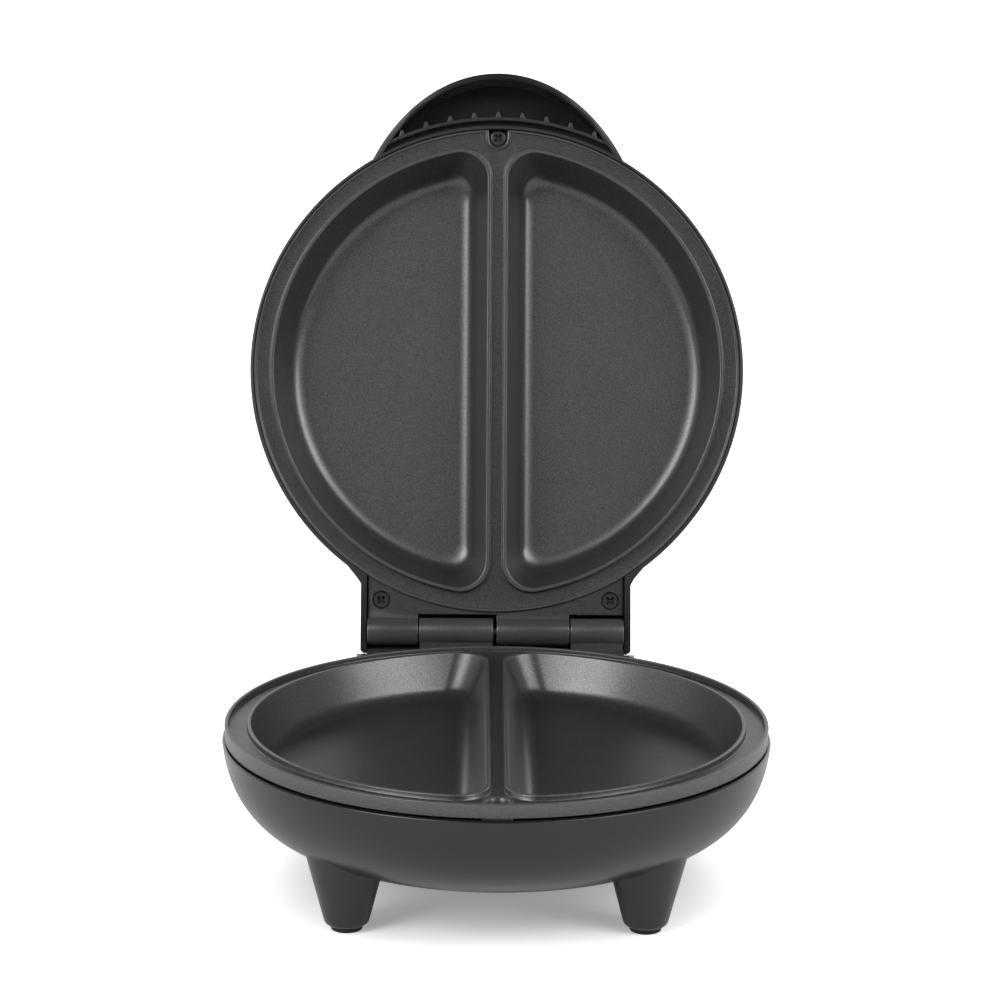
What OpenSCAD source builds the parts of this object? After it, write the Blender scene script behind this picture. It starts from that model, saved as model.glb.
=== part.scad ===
// Round electric omelette maker, shown with its hinged lid open.
// The origin is on the table, at the middle of the open appliance's footprint.
// The front faces -Y and the hinge runs along X behind the cooking plates.

/* [Overall] */
// Radius of the base housing at its rim
base_r = 110; // [104:1:116]
// Height of the cooking rim above the table
rim_z = 67.6; // [65:0.2:74]
// Angle between the closed lid and the open lid
lid_open = 108; // [104:1:109]
// Space left between the two cooking rims when the lid is shut
shut_gap = 0.4; // [0.3:0.1:0.8]

/* [Base housing] */
// Wall of both plastic housings
wall = 2.6; // [2.2:0.1:3]
// Height of the bowl's underside above the table
bowl_z = 19.8; // [16:0.2:21]
// How square the bowl and the dome curve, 2 is an ellipse
curve_power = 5.8; // [4:0.1:7]
// How far past the rim the bulge of bowl and dome would be widest
bulge_rise = 12; // [6:0.5:14]
// Gap between the plate's skirt and the housing rim
rim_gap = 0.8; // [0.6:0.1:1.2]
// Half the width of the base's hinge box
box_half_w = 61; // [60:0.2:64]
// How far the base's hinge box reaches behind the hinge axis
box_back = 10.5; // [9:0.5:11]
// Height of the hinge box's underside above the table
box_z = 33; // [30:0.5:38]

/* [Legs] */
// Distance of the front legs from the middle plane
leg_x = 58; // [54:0.5:62]
// Distance of the front legs in front of the plate centre
leg_front = 58; // [54:0.5:60]
// Distance of the rear legs from the middle plane
leg_rear_x = 46; // [42:0.5:48]
// Distance of the rear legs behind the plate centre
leg_rear = 102; // [96:0.5:104]
// Radius of a leg at its foot
leg_r = 8.4; // [7.5:0.1:9.5]
// How much a leg widens for each unit of height
leg_taper = 0.26; // [0.2:0.01:0.3]
// Radius of the rubber foot pads
pad_r = 6.2; // [5:0.1:7]
// Height of the foot pads below the legs
pad_h = 2; // [1.5:0.1:3]

/* [Cooking plates] */
// Step from the housing rim in to the plate's skirt
skirt_inset = 1; // [0.6:0.1:1.5]
// Height of the skirt that shows above the housing rim
skirt_h = 5.6; // [5:0.1:6.5]
// Thickness of the raised lip round the lower plate
lip_w = 1.6; // [1.2:0.1:2]
// Width of the flat gutter inside the lip
gutter_w = 7.2; // [6:0.1:9]
// Depth of the gutter below the lip
gutter_d = 2.2; // [1.8:0.1:2.6]
// Width of the bead round each cavity
bead_w = 1.8; // [1.4:0.1:2.4]
// Width of the bar between the two cavities
divider_w = 9; // [7:0.5:12]
// Corner radius of the half-moon cavities
corner_r = 12; // [9:0.5:15]
// Depth of the cavities
cavity_d = 17.5; // [15:0.5:18]
// How far the cavity walls slope inward on the way down
wall_run = 9; // [7:0.5:11]
// Radius between cavity wall and floor
floor_r = 5; // [3:0.5:6]
// Thickness of the cast plates
plate_t = 3; // [2.5:0.1:3.3]
// Height of the small lip round the upper plate
upper_lip_h = 1; // [0.6:0.1:1.4]

/* [Hinge] */
// Distance of the hinge axis behind the lower plate's skirt
hinge_back = 7; // [6.9:0.1:8]
// Height of the hinge axis above the cooking rim
hinge_rise = 4.3; // [4:0.1:4.8]
// Outer radius of the cast knuckles
knuckle_r = 6.1; // [5.6:0.1:6.2]
// Radius of the steel hinge pin
pin_r = 2; // [1.6:0.1:2.5]
// Length of the lid's outer knuckle
knuckle_a = 22.4; // [18:0.2:26]
// Length of the base's inner knuckle
knuckle_b = 33.4; // [28:0.2:36]
// Length of the lid's inner knuckle
knuckle_c = 32.8; // [28:0.2:36]
// Length of the base's outer knuckle
knuckle_d = 23.6; // [20:0.2:28]
// Side play between neighbouring knuckles
knuckle_gap = 0.5; // [0.3:0.1:0.8]
// Gap between the two middle knuckles
middle_gap = 1.5; // [0.5:0.1:2]
// Running clearance of the lid's knuckles on the pin, on the radius
pin_play = 0.06; // [0.03:0.01:0.09]

/* [Lid] */
// Step from the lower plate's skirt in to the lid's rim
lid_inset = 0.2; // [0:0.1:0.5]
// Thickness of the lid's rim ring
lid_rim_t = 1.7; // [1.4:0.1:2]
// Height of the lid's rim above the lower plate's lip when shut
lid_rim_gap = 0.8; // [0.6:0.1:1.2]
// Gap between the lid's rim and the upper plate
lid_plate_gap = 0.6; // [0.4:0.1:0.9]
// Height of the dome over the cooking rim when shut
dome_h = 38; // [37:0.5:44]
// Height of the straight band below the dome
lid_band = 9; // [8.6:0.1:10]
// Reach of the lid's hinge box behind the hinge axis
lid_box_back = 9.2; // [9:0.1:9.6]
// Height of the hinge box's rear edge over the cooking rim
lid_box_edge = 6; // [5.5:0.1:7]
// Height of the lid's hinge box over the cooking rim
lid_box_h = 29; // [28:0.5:31]

/* [Handle] */
// How far the handle stands out from the lid's rim
handle_reach = 23.8; // [20:0.2:28]
// Half the width of the handle's oval
handle_a = 67.4; // [64:0.2:72]
// Half the length of the handle's oval
handle_b = 90; // [84:0.5:96]
// Height of the handle over the cooking rim
handle_h = 16; // [14:0.5:18]
// Rounding of the handle's upper edge
handle_round = 5; // [3:0.5:6]
// Width of the slot between the lid's rim and the handle's inner wall
slot_w = 2.5; // [2:0.1:3]
// Thickness of the handle's inner wall
strip_t = 1.7; // [1.4:0.1:2.2]
// Number of small ribs on the inner wall
rib_n = 9; // [5:2:11]
// Distance between neighbouring ribs
rib_pitch = 10.7; // [8:0.1:10.8]
// Width of a rib at its root
rib_w = 2.8; // [2:0.1:3.5]
// How far a rib stands out
rib_l = 2.6; // [2:0.1:3.5]

/* [Screws] */
// Distance of the front screws inside the lower plate's skirt
front_screw_in = 5.3; // [5:0.1:6]
// Width of the notch round each front screw
notch_w = 8.2; // [8:0.1:9]
// Depth of the notch below the gutter
notch_d = 2.4; // [2:0.1:2.6]
// Distance of the rear screws from the middle plane
rear_screw_x = 50.2; // [47:0.2:51]
// Distance of the rear screws in front of the hinge axis
rear_screw_in = 13.8; // [12.5:0.1:14.5]
// Radius of the screw shanks
shank_r = 1.6; // [1.4:0.1:1.8]
// Radius of the screw heads
head_r = 3.4; // [3:0.1:3.8]
// Radius of the screw bosses in the housings
boss_r = 4.4; // [4:0.1:5]

/* [Heating parts] */
// Radius of the heating elements' ring
ring_r = 58; // [54:0.5:62]
// Radius of the heating elements' tube
tube_r = 3.25; // [2.8:0.05:3.6]
// Angle of the opening in the heating elements' ring
ring_gap = 60; // [52:1:66]
// Gap between the clamp screws' bosses and the heating element
clamp_gap = 3.3; // [2:0.1:4.5]
// Radius of the lower reflector
reflector_r = 80; // [74:1:82]
// Distance of the upper reflector's edge from the dome at the same height
reflector_gap = 8.6; // [6:0.2:12]
// Thickness of the clamp and reflector sheets
sheet_t = 0.8; // [0.6:0.1:1]
// Radius of the thermostat
stat_r = 8; // [7:0.2:8.6]
// Height of the thermostat
stat_h = 11; // [9:0.2:12]
// Radius of the bore that takes the mains lead
gland_bore = 3.4; // [3:0.1:3.8]

/* [Lamps] */
// Radius of the lamp lenses
lens_r = 4; // [3:0.1:5]
// Distance between the two lamps
lamp_gap = 26; // [22:1:34]
// Distance of the lamps in front of the plate centre
lamp_front = 56; // [48:1:62]

/* [Hidden] */

$fn = 96;
oval_sides = 72;
curve_steps = 28;
eps = 0.01;
// Gap between pieces of one body that lie on each other
seat = 0.1;
// Radial play of a screw in the hole that holds it
thread_play = 0.05;
// Radial play of a screw in a hole it passes through
screw_play = 0.4;
head_h = 2;

// Levels of the base, from the table
skirt_z = rim_z - skirt_h;
base_rim_z = skirt_z - rim_gap;
lower_r = base_r - skirt_inset;
bead_r = lower_r - lip_w - gutter_w;
cavity_r = bead_r - bead_w;
box_corner = 9;
box_round = 8;
flange_t = 2.5;
flange_h = 2.4;
flange_play = 0.8;
flange_r = base_r - wall - flange_play;
flange_end_y = base_r * sin(45) - 4;

// Hinge axis and the knuckles' split
hinge_y = lower_r + hinge_back;
hinge_z = rim_z + hinge_rise;
hinge_w = knuckle_a + knuckle_b + knuckle_c + knuckle_d;
split_ab = knuckle_a - hinge_w / 2;
split_bc = split_ab + knuckle_b;
split_cd = split_bc + knuckle_c;
tab_half_w = hinge_w / 2;
tab_d = 2.5;
tab_t = 3.1;
hinge_clear = 1;
// Radial gap between the pin and the base's knuckles, which hold it
pin_fit = 0.02;
web_front = 215;
web_back = 245;
side_play = 0.4;

// Lid sizes, with heights over the cooking rim of the shut lid
lid_r = lower_r - lid_inset;
upper_r = lid_r - lid_rim_t - lid_plate_gap;
upper_skirt_h = 7;
lid_box_in = tab_half_w + side_play;
lid_box_half_w = lid_box_in + wall;
lid_box_corner = 1.2;
lid_box_round = 8;
lid_box_slope = 7;
handle_y = handle_b - lid_r - handle_reach;
strip_r = lid_r + slot_w;

// The plate centre lies in front of the origin, so that the open appliance is centred on it
dome_z = lid_rim_gap + lid_band;
dome_curve = curve_points(lid_r, dome_z, dome_h);
lid_back = max([for (p = dome_curve) open_y(-p[0], p[1])]);
plate_y = (base_r - lid_back) / 2;

// Stack under each cavity floor, measured down from the cooking rim
floor_under = cavity_d + plate_t;
tube_d = floor_under + seat + tube_r;
clamp_d = tube_d + tube_r + seat;
reflector_d = clamp_d + sheet_t + seat;
clamp_r = ring_r - tube_r - clamp_gap - boss_r;
clamp_screw_l = 2 * tube_r;
reflector_edge = 5;
reflector_play = 3;
tag_hole_gap = 1.5;
clamp_angles = [45, 135, 225, 315];
ring_start = 90 + ring_gap / 2;
ring_ends = [90 - ring_gap / 2, ring_start];
leg_drop = 5;
sleeve_t = 0.4;
tag_r = 1.2;
tag_l = 4.5;
tag_clear = 1.1;
stat_neck_in = 1.5;
blade_t = 0.8;
blade_w = 4;
blade_l = 6;
stat_screw_x = stat_r + boss_r + 6.5;
stat_screw_l = 6;
bracket_d = clamp_d + sheet_t;
fuse_y = 2.5 * stat_r;
fuse_r = (clamp_d - floor_under) / 2 - seat;
fuse_l = 40;

// Screws, lamps and the parts on the base housing
front_screw_y = -(lower_r - front_screw_in);
notch_floor = gutter_d + notch_d;
notch_wall = 1.5;
rear_screw_y = hinge_y - rear_screw_in;
front_screw_l = 10;
rear_screw_l = 14;
lamp_floor = curve_height(lid_r - lid_rim_t, dome_z, dome_h - wall,
    norm([lamp_gap / 2 + 1.25 * lens_r, lamp_front + 1.25 * lens_r]));
// The room over the upper reflector is shared out between the lamps' flange, carrier and body
lamp_room = lamp_floor - shut_gap - reflector_d - sheet_t;
lens_flange = 0.19 * lamp_room;
lamp_bar = 0.23 * lamp_room;
lamp_l = 0.4 * lamp_room;
upper_tag_l = curve_height(lid_r - lid_rim_t, dome_z, dome_h - wall, ring_r + tag_r)
    - shut_gap - tube_d - leg_drop - tag_clear;
upper_reflector_r = curve_radius(lid_r - lid_rim_t, dome_z, dome_h - wall, shut_gap + reflector_d + sheet_t)
    - reflector_gap;
leg_places = [[leg_x, -leg_front], [-leg_x, -leg_front], [leg_rear_x, leg_rear], [-leg_rear_x, leg_rear]];
front_leg_top = 37;
leg_round = 1.6;
pad_round = 0.6;
pad_stem_r = 2.6;
pad_stem_h = 5;
block_w = 34;
block_l = 14;
block_h = 9;
block_y = 66;
block_z = 27.6;
block_post_r = 3;
block_hole_r = 2.2;
block_screw_r = 2;
gland_z = 49;
gland_neck = gland_bore + 2.6;

plastic = [0.16, 0.16, 0.17];
coating = [0.22, 0.22, 0.23];
steel = [0.62, 0.62, 0.64];
sheet = [0.75, 0.75, 0.76];

// Where a point of the shut lid goes in Y when the lid is open
function open_y(y, h) = hinge_y + (y - hinge_y) * cos(lid_open) + (h - hinge_rise) * sin(lid_open);

// Half outline of a bowl or dome from its rim to the middle, as radius and height
function curve_points(r, z_rim, z_end) =
    let (way = sign(z_end - z_rim),
        z_wide = z_rim - way * bulge_rise,
        span = z_end - z_wide,
        start = asin(bulge_rise / abs(span)),
        r_wide = r / pow(cos(start), 2 / curve_power))
    [for (i = [0 : curve_steps])
        let (s = start + (90 - start) * i / curve_steps)
        [i == curve_steps ? 0 : r_wide * pow(cos(s), 2 / curve_power), z_wide + span * sin(s)]];

// Radius of such an outline at height z
function curve_radius(r, z_rim, z_end, z) =
    let (way = sign(z_end - z_rim), z_wide = z_rim - way * bulge_rise, span = z_end - z_wide,
        start = asin(bulge_rise / abs(span)))
    r * pow(cos(asin((z - z_wide) / span)) / cos(start), 2 / curve_power);

// Height of such an outline at radius at
function curve_height(r, z_rim, z_end, at) =
    let (way = sign(z_end - z_rim),
        z_wide = z_rim - way * bulge_rise,
        span = z_end - z_wide,
        r_wide = r / pow(cos(asin(bulge_rise / abs(span))), 2 / curve_power))
    z_wide + span * sqrt(1 - pow(at / r_wide, curve_power));

// Oval with its middle at [0, y]
function oval(a, b, y) = [for (i = [0 : oval_sides - 1])
    [a * cos(360 * i / oval_sides), y + b * sin(360 * i / oval_sides)]];

// Quarter arc from angle a0 to a1
function arc(x, y, r, a0, a1, n = 8) = [for (i = [0 : n])
    let (a = a0 + (a1 - a0) * i / n) [x + r * cos(a), y + r * sin(a)]];

// Places a piece drawn round the plate centre
module on_base() {
    translate([0, plate_y, 0]) children();
}

// Places a piece of the shut lid, drawn with its height over the cooking rim, in the open lid
module on_lid() {
    translate([0, plate_y + hinge_y, hinge_z])
        rotate([-lid_open, 0, 0])
            translate([0, -hinge_y, -hinge_rise]) children();
}

// Places a cooking plate's parts, drawn with the cavities opening upward, cooking side down
module facing_down() {
    translate([0, 0, shut_gap]) mirror([0, 0, 1]) children();
}

// Solid bowl or dome below or above its rim, with a straight band of its own radius at the rim
module bulge(r, z_rim, z_end, band = 0) {
    z_start = z_rim - sign(z_end - z_rim) * band;
    rotate_extrude()
        polygon(concat([[0, z_start]], band > 0 ? [[r, z_start]] : [], curve_points(r, z_rim, z_end)));
}

// Side profile drawn in Y and Z, extruded to both sides of the middle plane
module along_x(half_w) {
    rotate([90, 0, 90]) translate([0, 0, -half_w]) linear_extrude(2 * half_w) children();
}

module mirrored_x() {
    children();
    mirror([1, 0, 0]) children();
}

// Half-moon cavity outline, drawn in by inset
module half_moon(inset) {
    offset(r = corner_r, $fn = 32) offset(delta = -corner_r) intersection() {
        circle(cavity_r - inset, $fn = 80);
        translate([divider_w / 2 + inset, -cavity_r]) square([cavity_r, 2 * cavity_r]);
    }
}

// Cavity shape with sloping wall and rounded floor edge, grown outward by grow
module cavity(grow, top, depth) {
    foot = wall_run - floor_r * 0.6;
    hull() {
        translate([0, 0, top - eps]) linear_extrude(eps) half_moon(-grow);
        translate([0, 0, -depth + floor_r * 0.75]) linear_extrude(eps) half_moon(foot - grow);
        translate([0, 0, -depth + floor_r * 0.25]) linear_extrude(eps) half_moon(foot + floor_r * 0.35 - grow);
        translate([0, 0, -depth]) linear_extrude(eps) half_moon(wall_run + floor_r * 0.4 - grow);
    }
}

// Bead round one cavity, with a rounded top
module bead() {
    round_w = bead_w / 3;
    hull() {
        translate([0, 0, -gutter_d - eps]) linear_extrude(gutter_d - round_w) half_moon(-bead_w);
        translate([0, 0, -round_w]) linear_extrude(round_w) half_moon(round_w - bead_w);
    }
}

module circle_and_slot(half_w, y, reach) {
    translate([0, y]) circle(half_w);
    translate([-half_w, y - reach]) square([2 * half_w, reach]);
}

// Cooking plate with its cooking side up and its bead tops at height 0
module cook_plate(r, lip, lip_top, skirt, inner_r, notch_r) {
    under = gutter_d + plate_t;
    notch_under = notch_floor + plate_t;
    inner_lip = r - lip;
    pad_top = lip_top - lip / 2;
    difference() {
        union() {
            rotate_extrude() polygon(concat(
                [[0, -under], [0, -gutter_d], [inner_lip - 0.6, -gutter_d], [inner_lip, -gutter_d + 0.6]],
                arc(r - lip / 2, lip_top - lip / 2, lip / 2, 180, 0),
                [[r, -skirt], [inner_r - flange_t, -skirt], [inner_r - flange_t, -under]]));
            mirrored_x() cavity(plate_t, -gutter_d, floor_under);
            mirrored_x() bead();
            translate([0, 0, -notch_under]) linear_extrude(notch_under - gutter_d) intersection() {
                circle(inner_r - eps);
                circle_and_slot(notch_w / 2 + plate_t, front_screw_y, r);
            }
            translate([0, 0, -gutter_d - eps]) linear_extrude(pad_top + gutter_d + eps) intersection() {
                circle(r - lip / 2);
                circle_and_slot(notch_w / 2 + notch_wall, front_screw_y, r);
            }
            for (a = clamp_angles) rotate(a) translate([clamp_r, 0, -clamp_d + seat])
                cylinder(r = boss_r, h = clamp_d - floor_under, $fn = 32);
            translate([0, 0, -floor_under]) cylinder(r = stat_r + 1, h = cavity_d);
            stat_screws() translate([0, 0, -clamp_d + seat])
                cylinder(r = boss_r, h = clamp_d - floor_under, $fn = 32);
        }
        mirrored_x() cavity(0, 1, cavity_d);
        translate([0, 0, -notch_floor]) linear_extrude(notch_floor + lip_top + 1) intersection() {
            circle(notch_r);
            circle_and_slot(notch_w / 2, front_screw_y, r);
        }
        translate([0, front_screw_y, -notch_under - 1]) cylinder(r = shank_r + screw_play, h = notch_under);
        for (a = clamp_angles) rotate(a) translate([clamp_r, 0, -clamp_d])
            cylinder(r = shank_r + thread_play, h = clamp_d - floor_under + 1);
        stat_screws() translate([0, 0, -clamp_d])
            cylinder(r = shank_r + thread_play, h = clamp_d - floor_under + 1);
    }
}

module stat_screws() {
    for (s = [-1, 1]) translate([s * stat_screw_x, 0, 0]) children();
}

// Tab that carries a plate's knuckles, drawn at its real height
module hinge_tab(top, thick, y_end) {
    translate([-tab_half_w, 0, top - thick]) cube([2 * tab_half_w, y_end, thick]);
}

module barrel(x0, x1, r = knuckle_r) {
    translate([x0, hinge_y, 0]) rotate([0, 90, 0]) cylinder(r = r, h = x1 - x0);
}

// Holes for the two countersunk screws in a tab
module tab_screw_holes(top, thick) {
    mirrored_x() translate([rear_screw_x, rear_screw_y, top]) {
        translate([0, 0, -thick - 1]) cylinder(r = shank_r + screw_play, h = thick + 2);
        translate([0, 0, -head_h]) cylinder(r1 = shank_r + screw_play, r2 = head_r + seat, h = head_h);
        cylinder(r = head_r + seat, h = 1);
    }
}

module cross_recess() {
    arm = head_r * 0.62;
    for (a = [45, 135]) rotate(a) translate([-arm, -head_r * 0.13, 0]) cube([2 * arm, head_r * 0.26, 1.5]);
}

// Round-headed screw, its head's underside at height 0
module pan_screw(length) {
    difference() {
        union() {
            cylinder(r1 = head_r, r2 = head_r * 0.8, h = head_h, $fn = 48);
            translate([0, 0, -length]) cylinder(r = shank_r, h = length + eps, $fn = 32);
        }
        translate([0, 0, head_h - 1]) cross_recess();
    }
}

// Countersunk screw, its head's top at height 0
module flat_screw(length) {
    difference() {
        union() {
            translate([0, 0, -head_h]) cylinder(r1 = shank_r, r2 = head_r, h = head_h, $fn = 48);
            translate([0, 0, -length]) cylinder(r = shank_r, h = length - head_h + eps, $fn = 32);
        }
        translate([0, 0, -1]) cross_recess();
    }
}

// Outline of a hinge box seen from above, from inside the round housing to its rear wall
module box_plan(half_w, y_end, corner) {
    polygon(concat(
        [[-half_w, 0]],
        arc(-half_w + corner, y_end - corner, corner, 180, 90),
        arc(half_w - corner, y_end - corner, corner, 90, 0),
        [[half_w, 0]]));
}

// Small web where a hinge box leaves the round housing
module box_chamfer(half_w, r) {
    reach = 9;
    y_box = sqrt(r * r - half_w * half_w);
    a = acos(half_w / r);
    mirrored_x() polygon([[half_w - 1, y_box - reach], [(r - 0.3) * cos(a - 4.5), (r - 0.3) * sin(a - 4.5)],
        [half_w + 1.8, y_box + 0.8], [half_w, y_box + 4], [half_w - 1, y_box + 4]]);
}

// Base hinge box, with the slanted top that the open lid leans on
module base_box(inset) {
    top = base_rim_z + (inset > 0 ? 1 : 0);
    back = hinge_y + box_back - inset;
    lean = lid_open - 90;
    stop_z = hinge_z - (lid_box_back + shut_gap) / cos(lean);
    slant_y = hinge_y + (stop_z - base_rim_z) / tan(lean);
    slant_end = base_rim_z - (back - slant_y) * tan(lean);
    round_r = box_round - inset;
    intersection() {
        linear_extrude(rim_z) box_plan(box_half_w - inset, back, box_corner - inset);
        along_x(base_r) polygon(concat(
            [[0, box_z + inset], [0, top], [slant_y, top]],
            [[back, slant_end + (inset > 0 ? 1 : 0)]],
            arc(back - round_r, box_z + inset + round_r, round_r, 0, -90)));
    }
}

// One leg from its rounded foot up to height top, drawn in by thin
module leg(top, thin) {
    low = pad_h + (thin > 0 ? pad_stem_h + 2 : 0);
    r_low = leg_r - thin + leg_taper * (low - pad_h);
    rotate_extrude($fn = 64) polygon([[0, low], [r_low - leg_round, low], [r_low, low + leg_round],
        [r_low + leg_taper * (top - low - leg_round), top], [0, top]]);
}

module legs(thin) {
    for (p = leg_places) translate([p[0], p[1], 0])
        leg(p[1] < 0 ? front_leg_top : box_z + wall + 1, thin);
}

module base_bosses() {
    translate([0, front_screw_y, 0]) cylinder(r = boss_r, h = rim_z - notch_floor - plate_t - seat);
    mirrored_x() translate([rear_screw_x, rear_screw_y, 0])
        cylinder(r = boss_r, h = skirt_z - seat);
    mirrored_x() translate([block_w / 4, block_y, 0]) cylinder(r = block_post_r, h = block_z - seat, $fn = 32);
}

module base_housing() {
    color(plastic) on_base() difference() {
        union() {
            difference() {
                union() {
                    bulge(base_r, base_rim_z, bowl_z);
                    base_box(0);
                    legs(0);
                }
                bulge(base_r - wall, base_rim_z + eps, bowl_z + wall);
                base_box(wall);
                legs(wall);
            }
            intersection() {
                union() {
                    bulge(base_r - eps, base_rim_z, bowl_z + eps);
                    base_box(eps);
                    legs(0);
                    translate([0, 0, base_rim_z - eps]) cylinder(r = hinge_y, h = skirt_h);
                }
                base_bosses();
            }
        }
        translate([0, front_screw_y, rim_z - notch_floor - front_screw_l - 1])
            cylinder(r = shank_r + thread_play, h = 2 * front_screw_l);
        mirrored_x() translate([rear_screw_x, rear_screw_y, rim_z - tab_d - rear_screw_l - 1])
            cylinder(r = shank_r + thread_play, h = 2 * rear_screw_l);
        for (p = leg_places) translate([p[0], p[1], pad_h - 1])
            cylinder(r = pad_stem_r + thread_play, h = pad_stem_h + 1 + seat);
        translate([0, hinge_y, gland_z]) rotate([-90, 0, 0]) cylinder(r = gland_neck + thread_play, h = 30);
    }
}

module foot_pads() {
    color([0.08, 0.08, 0.08]) on_base() for (p = leg_places) translate([p[0], p[1], 0]) {
        rotate_extrude($fn = 48) polygon([[0, 0], [pad_r - pad_round, 0], [pad_r, pad_round],
            [pad_r, pad_h - seat], [0, pad_h - seat]]);
        translate([0, 0, 1]) cylinder(r = pad_stem_r, h = pad_h - 1 + pad_stem_h, $fn = 32);
    }
}

// Web from the lower tab up to the base's knuckles, relative to the hinge axis
module knuckle_web(x0, x1, tab_low) {
    front_y = knuckle_r * cos(web_front);
    translate([x0, hinge_y, 0]) rotate([90, 0, 90]) linear_extrude(x1 - x0) polygon([
        [front_y, tab_low], [front_y, knuckle_r * sin(web_front)], [0, 0],
        [knuckle_r * cos(web_back), knuckle_r * sin(web_back)], [knuckle_r * cos(web_back), tab_low]]);
}

module lower_plate() {
    tab_z = -tab_d;
    color(coating) on_base() translate([0, 0, rim_z]) difference() {
        union() {
            cook_plate(lower_r, lip_w, 0, skirt_h, flange_r, lower_r - lip_w);
            difference() {
                hinge_tab(tab_z, tab_t, hinge_y - 4);
                translate([0, 0, -10]) cylinder(r = lower_r - 4, h = 20);
            }
            difference() {
                translate([0, 0, -skirt_h - flange_h]) cylinder(r = flange_r, h = flange_h + 1);
                translate([0, 0, -skirt_h - flange_h - 1]) cylinder(r = flange_r - flange_t, h = flange_h + 3);
                translate([0, front_screw_y, -rim_z]) cylinder(r = boss_r + flange_play, h = rim_z);
                translate([-base_r, flange_end_y, -rim_z]) cube([2 * base_r, base_r, rim_z - skirt_h]);
            }
            translate([0, 0, hinge_rise]) {
                for (x = [[split_ab + knuckle_gap / 2, split_bc - middle_gap / 2],
                        [split_cd + knuckle_gap / 2, tab_half_w]]) {
                    barrel(x[0], x[1]);
                    knuckle_web(x[0], x[1], tab_z - tab_t - hinge_rise);
                }
            }
        }
        translate([0, 0, hinge_rise]) barrel(-hinge_w, hinge_w, pin_r + pin_fit);
        tab_screw_holes(tab_z, tab_t);
    }
}

module hinge_pin() {
    color(steel) on_base() translate([0, 0, hinge_z]) barrel(-tab_half_w, tab_half_w, pin_r);
}

module lower_front_screw() {
    color(steel) on_base()
        translate([0, front_screw_y, rim_z - notch_floor + seat]) pan_screw(front_screw_l);
}

module lower_hinge_screws() {
    color(steel) on_base() mirrored_x()
        translate([rear_screw_x, rear_screw_y, rim_z - tab_d]) flat_screw(rear_screw_l);
}

// Heating element: an open ring whose ends sit in sleeves with a terminal tag, as for the lower plate
module element(tag) {
    translate([0, 0, -tube_d]) {
        rotate(ring_start) rotate_extrude(angle = 360 - ring_gap) translate([ring_r, 0]) circle(tube_r);
        for (a = ring_ends) rotate(a) translate([ring_r, 0, 0]) {
            translate([0, 0, -leg_drop]) cylinder(r = tube_r + sleeve_t, h = leg_drop + tube_r + seat / 2);
            translate([0, 0, -leg_drop - tag]) cylinder(r = tag_r, h = tag + eps, $fn = 32);
        }
    }
}

// Strips that hold the element against the plate
module clamps() {
    for (a = clamp_angles) rotate(a) translate([clamp_r, 0, -clamp_d - sheet_t]) difference() {
        translate([-boss_r, -boss_r, 0]) cube([ring_r - clamp_r + boss_r + tube_r, 2 * boss_r, sheet_t]);
        translate([0, 0, -1]) cylinder(r = shank_r + screw_play, h = sheet_t + 2);
    }
}

module clamp_screws() {
    for (a = clamp_angles) rotate(a)
        translate([clamp_r, 0, -reflector_d - sheet_t - seat]) mirror([0, 0, 1]) pan_screw(clamp_screw_l);
}

module reflector(r) {
    translate([0, 0, -reflector_d - sheet_t]) difference() {
        rotate_extrude() polygon([[0, 0], [r, 0], [r + reflector_edge, reflector_edge],
            [r + reflector_edge, reflector_edge + sheet_t], [r, sheet_t], [0, sheet_t]]);
        for (a = clamp_angles) rotate(a) translate([clamp_r, 0, -1])
            cylinder(r = shank_r + screw_play, h = sheet_t + 2);
        for (a = ring_ends) rotate(a) translate([ring_r, 0, -1])
            cylinder(r = tube_r + tag_hole_gap, h = sheet_t + 2);
        translate([0, 0, -1]) cylinder(r = stat_screw_x + boss_r + reflector_play, h = sheet_t + 2);
    }
}

module lower_heating_element() {
    color(steel) on_base() translate([0, 0, rim_z]) element(tag_l);
}

module lower_element_clamps() {
    color(sheet) on_base() translate([0, 0, rim_z]) clamps();
}

module lower_clamp_screws() {
    color(steel) on_base() translate([0, 0, rim_z]) clamp_screws();
}

module lower_reflector() {
    color(sheet) on_base() translate([0, 0, rim_z]) reflector(reflector_r);
}

// Bimetal thermostat: its cap lies against the plate, its shoulder on the bracket
module thermostat() {
    cap_h = clamp_d - floor_under - 2 * seat;
    color([0.85, 0.82, 0.76]) on_base() translate([0, 0, rim_z - clamp_d + seat]) {
        cylinder(r = stat_r, h = cap_h);
        translate([0, 0, cap_h - stat_h]) cylinder(r = stat_r - stat_neck_in, h = stat_h - cap_h + 1);
        for (s = [-1, 1]) translate([-blade_t / 2, (s * stat_r - blade_w) / 2, cap_h - stat_h - blade_l])
            cube([blade_t, blade_w, blade_l + 1]);
    }
}

// Strap under the thermostat with an arm under the fuse, screwed to the plate's bosses
module thermostat_bracket() {
    half_l = stat_screw_x + boss_r;
    color(sheet) on_base() translate([0, 0, rim_z - bracket_d]) difference() {
        union() {
            translate([-half_l, -boss_r, 0]) cube([2 * half_l, 2 * boss_r, sheet_t]);
            cylinder(r = stat_r + 3, h = sheet_t);
            translate([-boss_r, 0, 0]) cube([2 * boss_r, fuse_y + fuse_r, sheet_t]);
        }
        translate([0, 0, -1]) cylinder(r = stat_r - stat_neck_in + seat, h = sheet_t + 2);
        stat_screws() translate([0, 0, -1]) cylinder(r = shank_r + screw_play, h = sheet_t + 2);
    }
}

module thermostat_screws() {
    color(steel) on_base() stat_screws()
        translate([0, 0, rim_z - bracket_d - seat]) mirror([0, 0, 1]) pan_screw(stat_screw_l);
}

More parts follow.
